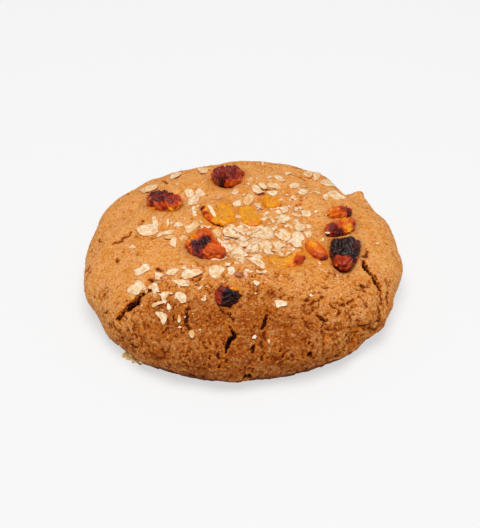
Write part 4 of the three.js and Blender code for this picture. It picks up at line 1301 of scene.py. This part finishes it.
def flake_points(table, angles, rings, settings):
    """Points of many flakes at once, with their values for the material and their charts.

    Each flake lies along the crust as a top and an underside of rings, with a faint
    crease along it. It thins out at its rim, which noise makes ragged.
    """
    middles, alongs, acrosses, radii, tones = table
    count, sides = radii.shape
    draws = np.random.default_rng(settings.seed).random((12, count, 1))
    height_draw, bend_draw, tone_draw, own_draw = draws[7], draws[6], draws[8], draws[9]
    size = radii.mean(axis=1, keepdims=True)
    large = np.minimum(size / LARGE_FLAKE, 1)
    edge = np.stack([radii * np.cos(angles), radii * np.sin(angles), 50 * own_draw + 0 * radii], -1)
    ragged = 0.09 * gradient_noise(edge / 1.1, FLAKE_EDGE_SEEDS[0])
    ragged += 0.08 * gradient_noise(edge / 0.45, FLAKE_EDGE_SEEDS[1])
    radii = np.maximum(radii + ragged * np.minimum(size, 1.5), 0.3 * size)
    shares = np.linspace(0, 1, rings + 1)[1:] ** 0.8
    reach = radii[:, None, :] * shares[None, :, None]
    middle = np.zeros((count, 1))
    along = np.concatenate([middle, (reach * np.cos(angles)).reshape(count, -1)], 1)
    across = np.concatenate([middle, (reach * np.sin(angles)).reshape(count, -1)], 1)
    rim_share = np.concatenate([[0], np.repeat(shares, sides)])

    ground = middles[:, None] + rows(along) * alongs[:, None] + rows(across) * acrosses[:, None]
    ground = onto_crust(ground)
    own = crust_normal(ground)
    wave = 0.8 * WAVE_HEIGHT * layered_noise(ground, WAVE_SIZE, WAVE_SEED, layers=1)
    shape_draws = (*draws[:6], draws[10], draws[11])
    rise = flake_rise(along, across, size, shape_draws, settings)
    lifted = settings.lift / MM + settings.pile / MM * height_draw
    height = relief(ground) + wave + (lifted + rise + perch_height(middles)[:, None])
    thick = settings.thickness / MM * (0.45 + 0.55 * large) * (1 - 0.55 * rim_share**4)
    off_axis = across / size - 0.12 * np.sin(1.4 * along + TURN * bend_draw)
    crease = np.exp(-((off_axis / 0.1) ** 2)) * (1 - fade(np.abs(along) / size, 0.6, 1.1)) * large
    top = ground + own * rows(height + thick / 2 - 0.08 * crease)
    low = ground + own * rows(height - thick / 2 - 0.04 * crease)

    per = along.shape[1]
    values = {
        "tone": np.repeat(tones + 0.2 * (tone_draw[:, 0] - 0.5), 2 * per),
        "rim": np.tile(rim_share, 2 * count),
        "seed": np.repeat(own_draw[:, 0], 2 * per),
    }
    for key, numbers in (("crease", crease), ("along", along), ("across", across)):
        values[key] = np.repeat(numbers[:, None], 2, axis=1)
    chart = np.stack([along, across], axis=-1) / radii.max()
    charts = np.repeat(chart[:, None], 2, axis=1).reshape(2 * count, per, 2)
    return np.stack([top, low], 1), values, charts


def perch_height(middles):
    """How far a flake is raised that lies on a dried grape: to near the grape's top."""
    height = np.zeros(len(middles))
    for grape in GRAPES:
        _, lift, thickness, *_ = grape
        share = grape_shares(middles, grape)
        top = lift + 0.4 * thickness * np.sqrt(np.maximum(1 - share**2, 0))
        height = np.maximum(height, np.where(share < 0.9, top, 0))
    return height


def flake_pieces(settings, material):
    """The rolled-oat flakes in one piece and the scattered oat bits in another."""
    for name, sides, rings in OAT_MESHES:
        angles = np.linspace(0, 2 * np.pi, sides, endpoint=False)
        if name == "oat_flakes":
            table = named_flakes(angles)
        else:
            table = scattered_bits(angles, settings.seed)
        points, values, charts = flake_points(table, angles, rings, settings)
        triangles, quads = flake_faces(len(points), sides, rings)
        piece = new_piece(name, points, [triangles, quads], material)
        for key, numbers in values.items():
            add_attribute(piece, key, numbers)
        uv = in_grid(charts).reshape(-1, 2)
        add_bake_map(piece, uv[np.concatenate([triangles.ravel(), quads.ravel()])])


def in_grid(charts):
    """Charts from -1 to 1 side by side in the cells of a square grid."""
    grid = math.ceil(math.sqrt(len(charts)))
    cell = np.arange(len(charts))
    place = np.stack([cell % grid, cell // grid], 1)[:, None, :]
    return (place + 0.5 + charts * 0.46) / grid


def lump_piece(name, middles, sizes, tones, seed, material):
    """Many small rough lumps in one piece: balls flattened a little, dented by noise and
    laid along the crust under them. None of them goes below the cookie's underside."""
    ball, quads, corners_uv = cube_ball(9)
    draws = np.random.default_rng(seed).random((len(sizes), 4))
    shape = 0.7 + 0.5 * draws[:, None, :3]
    dents = np.stack([gradient_noise(ball * 1.4 + 20 * draw[3], seed) for draw in draws])
    dents += 0.6 * np.stack([gradient_noise(ball * 3.4 + 20 * draw[3], seed + 3) for draw in draws])
    normal = crust_normal(middles)
    axes = np.stack([*tangent_axes(normal), normal], axis=1)
    local = ball * shape * np.array([1, 1, 0.75]) * rows(0.5 * sizes[:, None] * (1 + 0.6 * dents))
    points = middles[:, None] + np.einsum("nkc,ncd->nkd", local, axes)
    points[..., 2] = np.maximum(points[..., 2], 0.02)
    faces = quads + (np.arange(len(sizes)) * len(ball))[:, None, None]
    piece = new_piece(name, points, [faces.reshape(-1, 4)], material)
    add_attribute(piece, "tone", np.repeat(tones, len(ball)))
    charts = np.tile(2 * corners_uv - 1, (len(sizes), 1, 1))
    add_bake_map(piece, in_grid(charts).reshape(-1, 2))


def linear(red, green, blue):
    """Linear colour of display values from 0 to 255, by the display curve's two parts."""
    shares = np.array([red, green, blue]) / 255
    low = shares / 12.92
    high = ((shares + 0.055) / 1.055) ** 2.4
    return tuple(float(value) for value in np.where(shares <= 0.04045, low, high))


def new_material(name):
    """A material with nodes, its node tree and its principled shader."""
    material = bpy.data.materials.new(name)
    material.use_nodes = True
    return material, material.node_tree, material.node_tree.nodes["Principled BSDF"]


def set_inputs(node, values):
    """A node's inputs set to values or linked to sockets. A colour is made opaque.

    Here and below, the tree is found from a node or a socket, as its id_data.
    """
    for key, value in values.items():
        socket = node.inputs[key]
        if isinstance(value, bpy.types.NodeSocket):
            node.id_data.links.new(value, socket)
        else:
            socket.default_value = (*value, 1.0) if socket.type == "RGBA" else value


def add_node(tree, kind, values, **options):
    """A node with its options and inputs."""
    made = tree.nodes.new(kind)
    for key, value in options.items():
        setattr(made, key, value)
    set_inputs(made, values)
    return made


def bump_of(height, strength, reach):
    """A bumped normal from a height, whose reach is in millimetres."""
    values = {"Strength": strength, "Distance": reach * MM, "Height": height}
    return add_node(height.id_data, "ShaderNodeBump", values).outputs[0]


def noise_of(place, scale, detail, roughness):
    """Noise value at a place, with `scale` features to the metre."""
    values = {"Vector": place, "Scale": scale, "Detail": detail, "Roughness": roughness}
    return add_node(place.id_data, "ShaderNodeTexNoise", values).outputs["Fac"]


def spread(value, low, high, new_low=0.0, new_high=1.0):
    """A value's range from low to high stretched to a new range, smoothly and clipped."""
    names = ("Value", "From Min", "From Max", "To Min", "To Max")
    values = dict(zip(names, (value, low, high, new_low, new_high)))
    options = {"interpolation_type": "SMOOTHSTEP"}
    return add_node(value.id_data, "ShaderNodeMapRange", values, **options).outputs[0]


def calculate(operation, *numbers, clamp=False):
    """One arithmetic step on values, the first of which is a socket."""
    options = {"operation": operation, "use_clamp": clamp}
    inputs = dict(enumerate(numbers))
    return add_node(numbers[0].id_data, "ShaderNodeMath", inputs, **options).outputs[0]


def times(first, second):
    """Product of two values."""
    return calculate("MULTIPLY", first, second)


def times_plus(first, second, third, clamp=False):
    """Product of two values, plus a third."""
    return calculate("MULTIPLY_ADD", first, second, third, clamp=clamp)


def off_middle(value):
    """How far a noise value lies from its middle, which is 0 along its creases."""
    return calculate("ABSOLUTE", calculate("SUBTRACT", value, 0.5))


def blend_colours(share, first, second, mode="MIX"):
    """Two colours mixed by a share."""
    options = {"data_type": "RGBA", "blend_type": mode}
    values = {0: share, 6: first, 7: second}
    return add_node(share.id_data, "ShaderNodeMix", values, **options).outputs[2]


def read_attributes(tree, *names):
    """Numbers that are kept at each vertex."""
    made = [add_node(tree, "ShaderNodeAttribute", {}, attribute_name=name) for name in names]
    return [node.outputs["Fac"] for node in made]


def object_place(tree):
    """Place in the cookie's own frame."""
    return add_node(tree, "ShaderNodeTexCoord", {}).outputs["Object"]


def crust_material(colours):
    """Baked crust: sandy crumb with orange seams, and painted shade in its pits and cracks.

    The distances to seams and cracks are kept at the vertices, and a fine noise makes
    their edges ragged. Moist orange crumb shows beside each of them. Broad noise turns
    the crust from golden to brown and lays a pinkish skin over the plates between.
    Raised grains are painted lighter, a painted highlight, and low ones darker and more
    orange, painted shade.
    """
    material, tree, shader = new_material("baked_crust")
    place = object_place(tree)
    crust, skin, toasted = colours.crust_colour, colours.skin_colour, colours.toasted_colour
    # Dark is the painted shade of pits, seams, gaps and cracks; pale is the pale grains and their painted
    # highlights.
    fresh_and_shade, dark, pale = colours.fresh_crumb_and_shade_colour, colours.pit_shade_colour, colours.pale_grain_and_highlight_colour
    rough, browned, seam, pit, crack, deep = read_attributes(
        tree, "rough", "browned", "seam", "pit", "crack", "deep"
    )
    ledge, grain, soak, dark_grape_ring, below = read_attributes(
        tree, "ledge", "grain", "soak", "dark_grape_ring", "underside"
    )
    noises = [noise_of(place, *settings) for settings in CRUST_NOISES.values()]
    patches, lines, mottle, crumb, sand, micro = noises
    crumb_rise = off_middle(crumb)
    crumb_line = spread(crumb_rise, 0.0, 0.045, 1.0, 0.0)
    shown = spread(times_plus(rough, 0.16, lines), 0.46, 0.66, 0.15, 1.0)
    grit = add_node(tree, "ShaderNodeTexVoronoi", {"Vector": place, "Scale": GRIT_SCALE})
    grit_kind = add_node(tree, "ShaderNodeSeparateColor", {0: grit.outputs["Color"]}).outputs[0]
    grit_gap = spread(grit.outputs["Distance"], 0.45, 0.8)
    torn_edge = times_plus(sand, 1.4, -0.7)
    seam = times_plus(torn_edge, 1.3, seam)
    crack = calculate("ADD", torn_edge, crack)
    crack = times_plus(calculate("POWER", deep, 3.0), -0.16, crack)

    toast = times_plus(spread(patches, 0.35, 0.68), 0.35, -0.15)
    toast = times_plus(rough, 0.6, toast)
    # The front mask also browns the toast, partly as painted shade.
    toast = times_plus(browned, 0.4, toast, clamp=True)
    colour = blend_colours(toast, crust, toasted)

    def by_rough(low, high, start=0.2, end=1.0):
        return spread(rough, start, end, low, high)

    light_crumb = spread(crumb, 0.42, 0.6, 0.1, 0.6)
    bake = spread(mottle, 0.36, 0.6, 1.0, 0.8)
    pores = times(times(crumb_line, grit_gap), shown)
    broken = calculate("ADD", spread(crumb, 0.4, 0.54), spread(deep, 0.7, 1.0), clamp=True)
    depth = times(spread(deep, 0.5, 0.95, 0.35, 1.0), broken)

    # Each layer is laid over the ones before it: where it shows, how strongly, its colour.
    layers = (
        # Skin, crumb and grains, with painted highlights on the raised sand and grains and painted orange
        # shade in the low sand.
        (spread(mottle, 0.45, 0.6), 0.6, skin),
        (spread(mottle, 0.5, 0.36), 0.45, fresh_and_shade),
        (spread(grit_kind, 0.45, 0.1), by_rough(0.2, 0.35, end=0.9), fresh_and_shade),
        (spread(grit_kind, 0.78, 0.95), light_crumb, pale),
        (spread(sand, 0.54, 0.63), by_rough(0.45, 0.65), pale),
        (spread(sand, 0.48, 0.38), by_rough(0.5, 0.6), fresh_and_shade),
        (spread(grain, 0.3, 0.9), 0.12, pale),
        # Painted shade in the gaps between the grit cells, which the bump sinks.
        (grit_gap, spread(crumb, 0.6, 0.4, 0.1, 0.6), toasted),
        (grit_gap, by_rough(0.0, 0.15, start=0.5), dark),
        # The front's darker bake, partly painted shade, the dough round the grapes and the broken ledge.
        (browned, bake, colours.front_bake_and_shade_colour, "MULTIPLY"),
        # Painted highlight: the raised sand at the front is lighter.
        (spread(sand, 0.54, 0.62), times(browned, 0.6), crust),
        (soak, 0.75, colours.soaked_colour),
        # A darker ring of dough round each dark grape.
        (dark_grape_ring, 0.45, colours.dark_grape_ring_colour),
        (ledge, 0.8, fresh_and_shade),
        # Seams, pits and cracks, from their moist edges to their dark bottoms, which are painted shade.
        (times(crumb_line, shown), 0.6, fresh_and_shade),
        # Painted shade in the low sand.
        (spread(sand, 0.4, 0.3), by_rough(0.25, 0.7), dark),
        (spread(seam, 0.42, 0.12), 0.65, fresh_and_shade),
        (spread(crack, 0.75, 0.1), deep, fresh_and_shade),
        (spread(pores, 0.2, 0.7), 0.8, dark),
        (spread(seam, 0.12, -0.1), 0.85, dark),
        (spread(pit, 0.35, 0.9), 0.6, dark),
        (spread(crack, 0.2, -0.04), spread(deep, 0.5, 0.9, 0.6, 0.9), dark),
        (spread(crack, 0.02, -0.12), depth, colours.crack_shade_colour),
        # The underside's darker bake, with painted contact shade along the foot.
        (below, spread(mottle, 0.3, 0.7, 0.6, 0.95), colours.underside_bake_and_shade_colour),
    )
    for share, strength, layer, *mode in layers:
        colour = blend_colours(times(share, strength), colour, layer, *mode)

    height = times_plus(crumb_rise, by_rough(0.75, 1.5), times(grit_gap, -0.15))
    height = times_plus(micro, 0.22, height)
    height = times_plus(sand, by_rough(0.45, 0.7), height)
    height = times_plus(spread(seam, 0.0, 0.35), 0.16, height)
    height = times_plus(spread(crack, -0.15, 0.15), 0.3, height)
    set_inputs(shader, {
        "Base Color": colour,
        "Roughness": spread(mottle, 0.3, 0.7, 0.7, 0.9),
        "Specular IOR Level": 0.16,
        "Subsurface Weight": 0.1,
        "Subsurface Radius": (1.0, 0.45, 0.15),
        "Subsurface Scale": 0.6 * MM,
        "Normal": bump_of(height, 0.8, 1.1),
    })
    return material


def oat_material(colours):
    """Rolled oat: cream with fine lines along the grain, a faint crease and a tan rim."""
    material, tree, shader = new_material("rolled_oat")
    toast = colours.toast_colour
    tone, rim, crease, along, across, seed = read_attributes(
        tree, "tone", "rim", "crease", "along", "across", "seed"
    )
    own_place = {0: along, 1: across, 2: times(seed, 40.0)}
    place = add_node(tree, "ShaderNodeCombineXYZ", own_place).outputs[0]
    drawn_out = add_node(tree, "ShaderNodeMapping", {"Vector": place, "Scale": (0.4, 1.3, 1.0)})
    streaks = noise_of(drawn_out.outputs[0], 1.8, 4, 0.65)
    blotches = noise_of(place, 0.7, 3, 0.6)
    shade = times_plus(spread(blotches, 0.36, 0.64), 0.8, -0.22)
    shade = calculate("ADD", tone, shade, clamp=True)
    colour = blend_colours(shade, colours.white_colour, colours.cream_colour)
    lines = times(spread(streaks, 0.46, 0.66), 0.35)
    colour = blend_colours(lines, colour, toast)
    colour = blend_colours(times(crease, 0.25), colour, toast)
    edge = times(spread(rim, 0.8, 1.0), spread(tone, 0.0, 0.6, 0.0, 0.35))
    colour = blend_colours(edge, colour, toast)
    set_inputs(shader, {
        "Base Color": colour,
        "Roughness": 0.62,
        "Specular IOR Level": 0.3,
        "Subsurface Weight": 0.15,
        "Subsurface Radius": (1.0, 0.62, 0.3),
        "Subsurface Scale": 0.8 * MM,
        "Normal": bump_of(streaks, 0.4, 0.1),
    })
    return material


def crumb_material(name, pale, brown):
    """Rough dry crumb, pale to brown by its tone and by a fine mottle."""
    material, tree, shader = new_material(name)
    mottle = noise_of(object_place(tree), 700, 4, 0.65)
    tone = read_attributes(tree, "tone")[0]
    spots = spread(mottle, 0.45, 0.75, 0.0, 0.5)
    share = calculate("ADD", tone, spots, clamp=True)
    set_inputs(shader, {
        "Base Color": blend_colours(share, pale, brown),
        "Roughness": 0.7,
        "Specular IOR Level": 0.25,
        "Subsurface Weight": 0.2,
        "Subsurface Radius": (1.0, 0.6, 0.3),
        "Subsurface Scale": 0.6 * MM,
    })
    return material


def grape_material(name, colours, shine, glow, grain):
    """Dried grape: amber to black by its char, with painted shade, darker and redder, in its folds, and
    dust with a painted sheen on its charred ridges.
    """
    material, tree, shader = new_material(name)
    place = object_place(tree)
    char, fold = read_attributes(tree, "char", "fold")
    speckle = noise_of(place, 900, 4, 0.65)
    share = times_plus(calculate("SUBTRACT", speckle, 0.5), 0.3, char)
    ramp = add_node(tree, "ShaderNodeValToRGB", {0: share})
    elements = ramp.color_ramp.elements
    stops = (
        (0.0, colours.tan_colour),
        (0.1, colours.amber_colour),
        (0.26, colours.orange_colour),
        (0.46, colours.red_colour),
        (0.7, colours.wine_colour),
        (0.93, colours.black_colour),
    )
    while len(elements) < len(stops):
        elements.new(0.5)
    for element, (position, colour) in zip(elements, stops):
        element.position = position
        element.color = (*colour, 1.0)
    # Painted shade: the valleys of the folds are darker and redder.
    deep = spread(fold, 0.1, 0.6, 0.6, 0.0)
    colour = blend_colours(deep, ramp.outputs[0], colours.orange_colour, "MULTIPLY")
    # Dust and a painted sheen on the ridges of charred skin.
    charred = spread(char, 0.5, 0.8, 0.0, 0.2)
    dust_and_sheen = times(spread(fold, 0.75, 1.0), charred)
    colour = blend_colours(dust_and_sheen, colour, colours.dust_and_sheen_colour)
    set_inputs(shader, {
        "Base Color": colour,
        "Roughness": spread(speckle, 0.3, 0.7, shine, shine + 0.25),
        "Specular IOR Level": 0.28,
        "Subsurface Weight": glow,
        "Subsurface Radius": (1.0, 0.4, 0.08),
        "Subsurface Scale": 1.2 * MM,
        "Coat Weight": 0.05,
        "Coat Roughness": 0.2,
        "Normal": bump_of(noise_of(place, 1900, 4, 0.6), grain, 0.2),
    })
    return material


def length_property(name, description, millimetres):
    """A length whose default is given in millimetres."""
    default = millimetres * MM
    return FloatProperty(name=name, description=description, default=default, unit="LENGTH")


def colour_property(name, description, *display):
    """A colour whose default is given in display values from 0 to 255."""
    return FloatVectorProperty(
        name=name,
        description=description,
        subtype="COLOR",
        size=3,
        min=0.0,
        max=1.0,
        default=linear(*display),
    )


class CookieDoughSettings(bpy.types.PropertyGroup):
    """Sizes and colours of the baked dough."""

    cells: IntProperty(name="Cells", description="Cells along the grid", default=280, min=20)
    waviness: length_property("Waviness", "Height of the crust's waves", WAVE_HEIGHT)
    seam_depth: length_property("Seam depth", "Depth of the seams between clumps", 0.16)
    grain_height: length_property("Grain height", "Height of the crumb grains", 0.14)
    pit_depth: length_property("Pit depth", "Depth of the small ragged pits", 0.4)
    crust_colour: colour_property("Crust", "Light crust of the crown", 240, 170, 88)
    skin_colour: colour_property("Skin", "Pinkish skin of the plates", 240, 170, 112)
    toasted_colour: colour_property("Toasted", "Browner crust at the front and foot", 236, 146, 62)
    # Filter of the front's darker bake, which also paints the shade on the front wall.
    front_bake_and_shade_colour: colour_property("Browning", "Filter of the dark bake at the front", 168, 126, 72)
    # Moist crumb, also the painted orange shade of the low sand and creases.
    fresh_crumb_and_shade_colour: colour_property("Fresh crumb", "Moist crumb in creases and breaks", 220, 116, 10)
    # Painted shade of the pits, seams and gaps.
    pit_shade_colour: colour_property("Pits", "Small pits and thin seams", 124, 36, 3)
    # Painted shade at the bottom of the cracks.
    crack_shade_colour: colour_property("Cracks", "Bottom of the cracks", 44, 8, 3)
    # Pale grains, also the painted highlight on the raised sand and grains.
    pale_grain_and_highlight_colour: colour_property("Grain", "Pale tips of the crumb grains", 252, 200, 126)
    # Darker ring of dough round the dark grapes.
    soaked_colour: colour_property("Soaked", "Dough soaked by the golden grapes", 226, 140, 44)
    dark_grape_ring_colour: colour_property("Stained", "Dough browned by the dark grapes", 176, 104, 48)
    # Darker bake of the underside, which also paints the contact shade along the foot.
    underside_bake_and_shade_colour: colour_property("Underside", "Darker bake of the underside", 84, 36, 16)


class CookieOatSettings(bpy.types.PropertyGroup):
    """Sizes and colours of the rolled-oat flakes."""

    thickness: length_property("Thickness", "Thickness of a large flake", 0.22)
    lift: length_property("Lift", "Height of the lowest flakes over the crust", 0.05)
    pile: length_property("Pile", "How much higher the topmost flakes lie", 0.2)
    curl: length_property("Curl", "How far the curled side of a flake stands up", 0.7)
    seed: IntProperty(name="Seed", description="Start of the random draws", default=5)
    white_colour: colour_property("White", "Palest flakes", 252, 230, 200)
    cream_colour: colour_property("Cream", "Usual flakes", 230, 174, 104)
    toast_colour: colour_property("Toast", "Creases, lines and rims", 212, 136, 60)


class CookieGrapeSettings(bpy.types.PropertyGroup):
    """Sizes and colours of the dried grapes."""

    cells: IntProperty(name="Cells", description="Cells along each side of a face", default=36, min=8)
    wrinkle: length_property("Wrinkle height", "Height of the large wrinkles", 0.75)
    golden_share: FloatProperty(
        name="Golden share", description="Share of the wrinkles that a sultana has", default=0.4
    )
    dish: length_property("Dish", "How far a sultana's top has sunk in", 0.8)
    tan_colour: colour_property("Tan", "Pale flesh of a sunk top", 218, 147, 40)
    amber_colour: colour_property("Amber", "Clear golden flesh", 238, 158, 4)
    orange_colour: colour_property("Orange", "Lightly baked flesh", 218, 94, 3)
    red_colour: colour_property("Red", "Caramelised skin", 168, 46, 10)
    wine_colour: colour_property("Wine", "Dark skin", 96, 22, 18)
    black_colour: colour_property("Black", "Charred skin", 36, 14, 12)
    # Dust and painted sheen of the charred ridges.
    dust_and_sheen_colour: colour_property("Dust", "Dull ridges of charred skin", 124, 70, 58)


class CookieCrumbSettings(bpy.types.PropertyGroup):
    """Colours of the crumbs and nut bits."""

    seed: IntProperty(name="Seed", description="Start of the random draws", default=9)
    crumb_colour: colour_property("Crumb", "Golden crumbs", 255, 214, 140)
    nut_colour: colour_property("Nut", "Pale inside of the nut", 240, 190, 150)
    brown_colour: colour_property("Brown", "Skin of the nut and baked sides", 166, 84, 34)


class CookieStageSettings(bpy.types.PropertyGroup):
    """Floor, light and camera."""

    floor_size: length_property("Floor size", "Side of the floor", 3000)
    floor_shade: FloatProperty(name="Floor shade", description="Light that it returns", default=0.31)
    floor_glow: FloatProperty(name="Floor glow", description="Light from under it", default=0.59)
    sky: FloatProperty(name="Sky", description="Strength of the light from all round", default=0.3)
    key: FloatProperty(
        name="Key", description="Power of the soft overhead light", default=7.5, unit="POWER"
    )
    key_width: length_property("Key width", "Width of the overhead light", 700)
    lens: FloatProperty(name="Lens", description="Focal length", default=108.4, unit="CAMERA")
    distance: length_property("Distance", "From the camera to the cookie", VIEW_DISTANCE)
    elevation: FloatProperty(
        name="Elevation",
        description="Height of the camera above the horizon",
        default=VIEW_ELEVATION,
        subtype="ANGLE",
    )


class CookieSettings(bpy.types.PropertyGroup):
    """Everything that a user may change about the cookie."""

    dough: PointerProperty(type=CookieDoughSettings)
    oats: PointerProperty(type=CookieOatSettings)
    grapes: PointerProperty(type=CookieGrapeSettings)
    crumbs: PointerProperty(type=CookieCrumbSettings)
    stage: PointerProperty(type=CookieStageSettings)


class COOKIE_OT_dough(bpy.types.Operator):
    """Build the baked dough with its cracks, fissures and crumb"""

    bl_idname = "cookie.dough"
    bl_label = "Baked Dough"

    def execute(self, context):
        settings = context.scene.cookie.dough
        dough_piece(settings, crust_material(settings))
        return {"FINISHED"}


class COOKIE_OT_oats(bpy.types.Operator):
    """Build the rolled-oat flakes and the scattered oat bits"""

    bl_idname = "cookie.oats"
    bl_label = "Rolled Oats"

    def execute(self, context):
        settings = context.scene.cookie.oats
        flake_pieces(settings, oat_material(settings))
        return {"FINISHED"}


class COOKIE_OT_grapes(bpy.types.Operator):
    """Build the dark raisins and the golden sultanas"""

    bl_idname = "cookie.grapes"
    bl_label = "Raisins and Sultanas"

    def execute(self, context):
        settings = context.scene.cookie.grapes
        dark = grape_material("raisin_skin", settings, shine=0.22, glow=0.15, grain=0.55)
        golden = grape_material("sultana_skin", settings, shine=0.16, glow=0.4, grain=0.15)
        for i, grape in enumerate(GRAPES):
            slot = grape[0].split("_")[0]
            grape_piece(grape, i + 1, settings, golden if slot == "sultana" else dark, slot)
        return {"FINISHED"}


class COOKIE_OT_crumbs(bpy.types.Operator):
    """Build the crumbs at the foot and the nut bits in the crust"""

    bl_idname = "cookie.crumbs"
    bl_label = "Crumbs and Nut Bits"

    def execute(self, context):
        settings = context.scene.cookie.crumbs
        crumbs, nuts = np.array(CRUMBS), np.array(NUT_BITS)
        material = crumb_material("crumb", settings.crumb_colour, settings.brown_colour)
        lump_piece("crumbs", crumbs[:, :3], crumbs[:, 3], 0 * crumbs[:, 3], settings.seed, material)
        middles = seen_on_crust(nuts[:, :2])
        middles = middles + crust_normal(middles) * rows(relief(middles))
        material = crumb_material("nut", settings.nut_colour, settings.brown_colour)
        lump_piece("nut_bits", middles, nuts[:, 2], nuts[:, 3], settings.seed, material)
        return {"FINISHED"}


class COOKIE_OT_stage(bpy.types.Operator):
    """Add the pale floor, the soft light and the camera"""

    bl_idname = "cookie.stage"
    bl_label = "Stage"

    def execute(self, context):
        settings = context.scene.cookie.stage
        make_floor(settings)
        make_lights(settings)
        make_camera(settings)
        context.scene.view_settings.view_transform = "Standard"
        return {"FINISHED"}


class COOKIE_PT_panel(bpy.types.Panel):
    """The cookie's settings and build buttons"""

    bl_idname = "COOKIE_PT_panel"
    bl_label = "Oatmeal Raisin Cookie"
    bl_space_type = "VIEW_3D"
    bl_region_type = "UI"
    bl_category = "Cookie"

    def draw(self, context):
        groups = context.scene.cookie
        parts = (groups.stage, groups.dough, groups.oats, groups.grapes, groups.crumbs)
        for operator, group in zip(STEPS, parts):
            box = self.layout.box()
            box.operator(operator.bl_idname)
            for key in group.bl_rna.properties.keys():
                if key not in ("rna_type", "name"):
                    box.prop(group, key)


STEPS = (COOKIE_OT_stage, COOKIE_OT_dough, COOKIE_OT_oats, COOKIE_OT_grapes, COOKIE_OT_crumbs)
CLASSES = (
    CookieDoughSettings,
    CookieOatSettings,
    CookieGrapeSettings,
    CookieCrumbSettings,
    CookieStageSettings,
    CookieSettings,
    *STEPS,
    COOKIE_PT_panel,
)


def make_floor(settings):
    """A plain pale floor, level with the cookie's underside."""
    material, _, shader = new_material("pale_floor")
    shade = settings.floor_shade
    set_inputs(shader, {
        "Base Color": (shade, shade, shade),
        "Roughness": 0.9,
        "Specular IOR Level": 0.1,
        "Emission Color": WHITE,
        "Emission Strength": settings.floor_glow,
    })
    half = settings.floor_size / 2
    mesh = bpy.data.meshes.new("floor")
    corners = [(-half, -half, 0), (half, -half, 0), (half, half, 0), (-half, half, 0)]
    mesh.from_pydata(corners, [], [(0, 1, 2, 3)])
    mesh.materials.append(material)
    linked_object("floor", mesh)


def make_lights(settings):
    """Even white surroundings, and one wide soft light from high above, a little in front."""
    world = bpy.data.worlds.new("white_studio")
    world.use_nodes = True
    set_inputs(world.node_tree.nodes["Background"], {"Color": WHITE, "Strength": settings.sky})
    bpy.context.scene.world = world
    lamp = bpy.data.lights.new("overhead", "AREA")
    lamp.shape = "DISK"
    lamp.size = settings.key_width
    lamp.energy = settings.key
    light = linked_object("overhead", lamp)
    turn, lean = math.radians(KEY_AZIMUTH), math.radians(90 - KEY_ELEVATION)
    away = (math.sin(lean) * math.cos(turn), math.sin(lean) * math.sin(turn), math.cos(lean))
    light.location = [KEY_DISTANCE * share for share in away]
    light.rotation_euler = (0, lean, turn)


def make_camera(settings):
    """A long lens that looks down on the crown from the front."""
    data = bpy.data.cameras.new("camera")
    data.lens = settings.lens
    data.sensor_width = SENSOR_WIDTH
    data.shift_x, data.shift_y = CAMERA_SHIFT
    data.clip_start, data.clip_end = CAMERA_CLIP
    camera = linked_object("camera", data)
    distance, height = settings.distance, settings.elevation
    camera.location = (0, -distance * math.cos(height), distance * math.sin(height))
    camera.rotation_euler = (math.pi / 2 - height, 0, 0)
    bpy.context.scene.camera = camera


def register():
    for new_class in CLASSES:
        bpy.utils.register_class(new_class)
    bpy.types.Scene.cookie = PointerProperty(type=CookieSettings)


def unregister():
    del bpy.types.Scene.cookie
    for old_class in reversed(CLASSES):
        bpy.utils.unregister_class(old_class)


def main():
    """Registers the classes and runs each step in order."""
    register()
    bpy.ops.cookie.stage()
    bpy.ops.cookie.dough()
    bpy.ops.cookie.oats()
    bpy.ops.cookie.grapes()
    bpy.ops.cookie.crumbs()


if __name__ == "__main__":
    main()
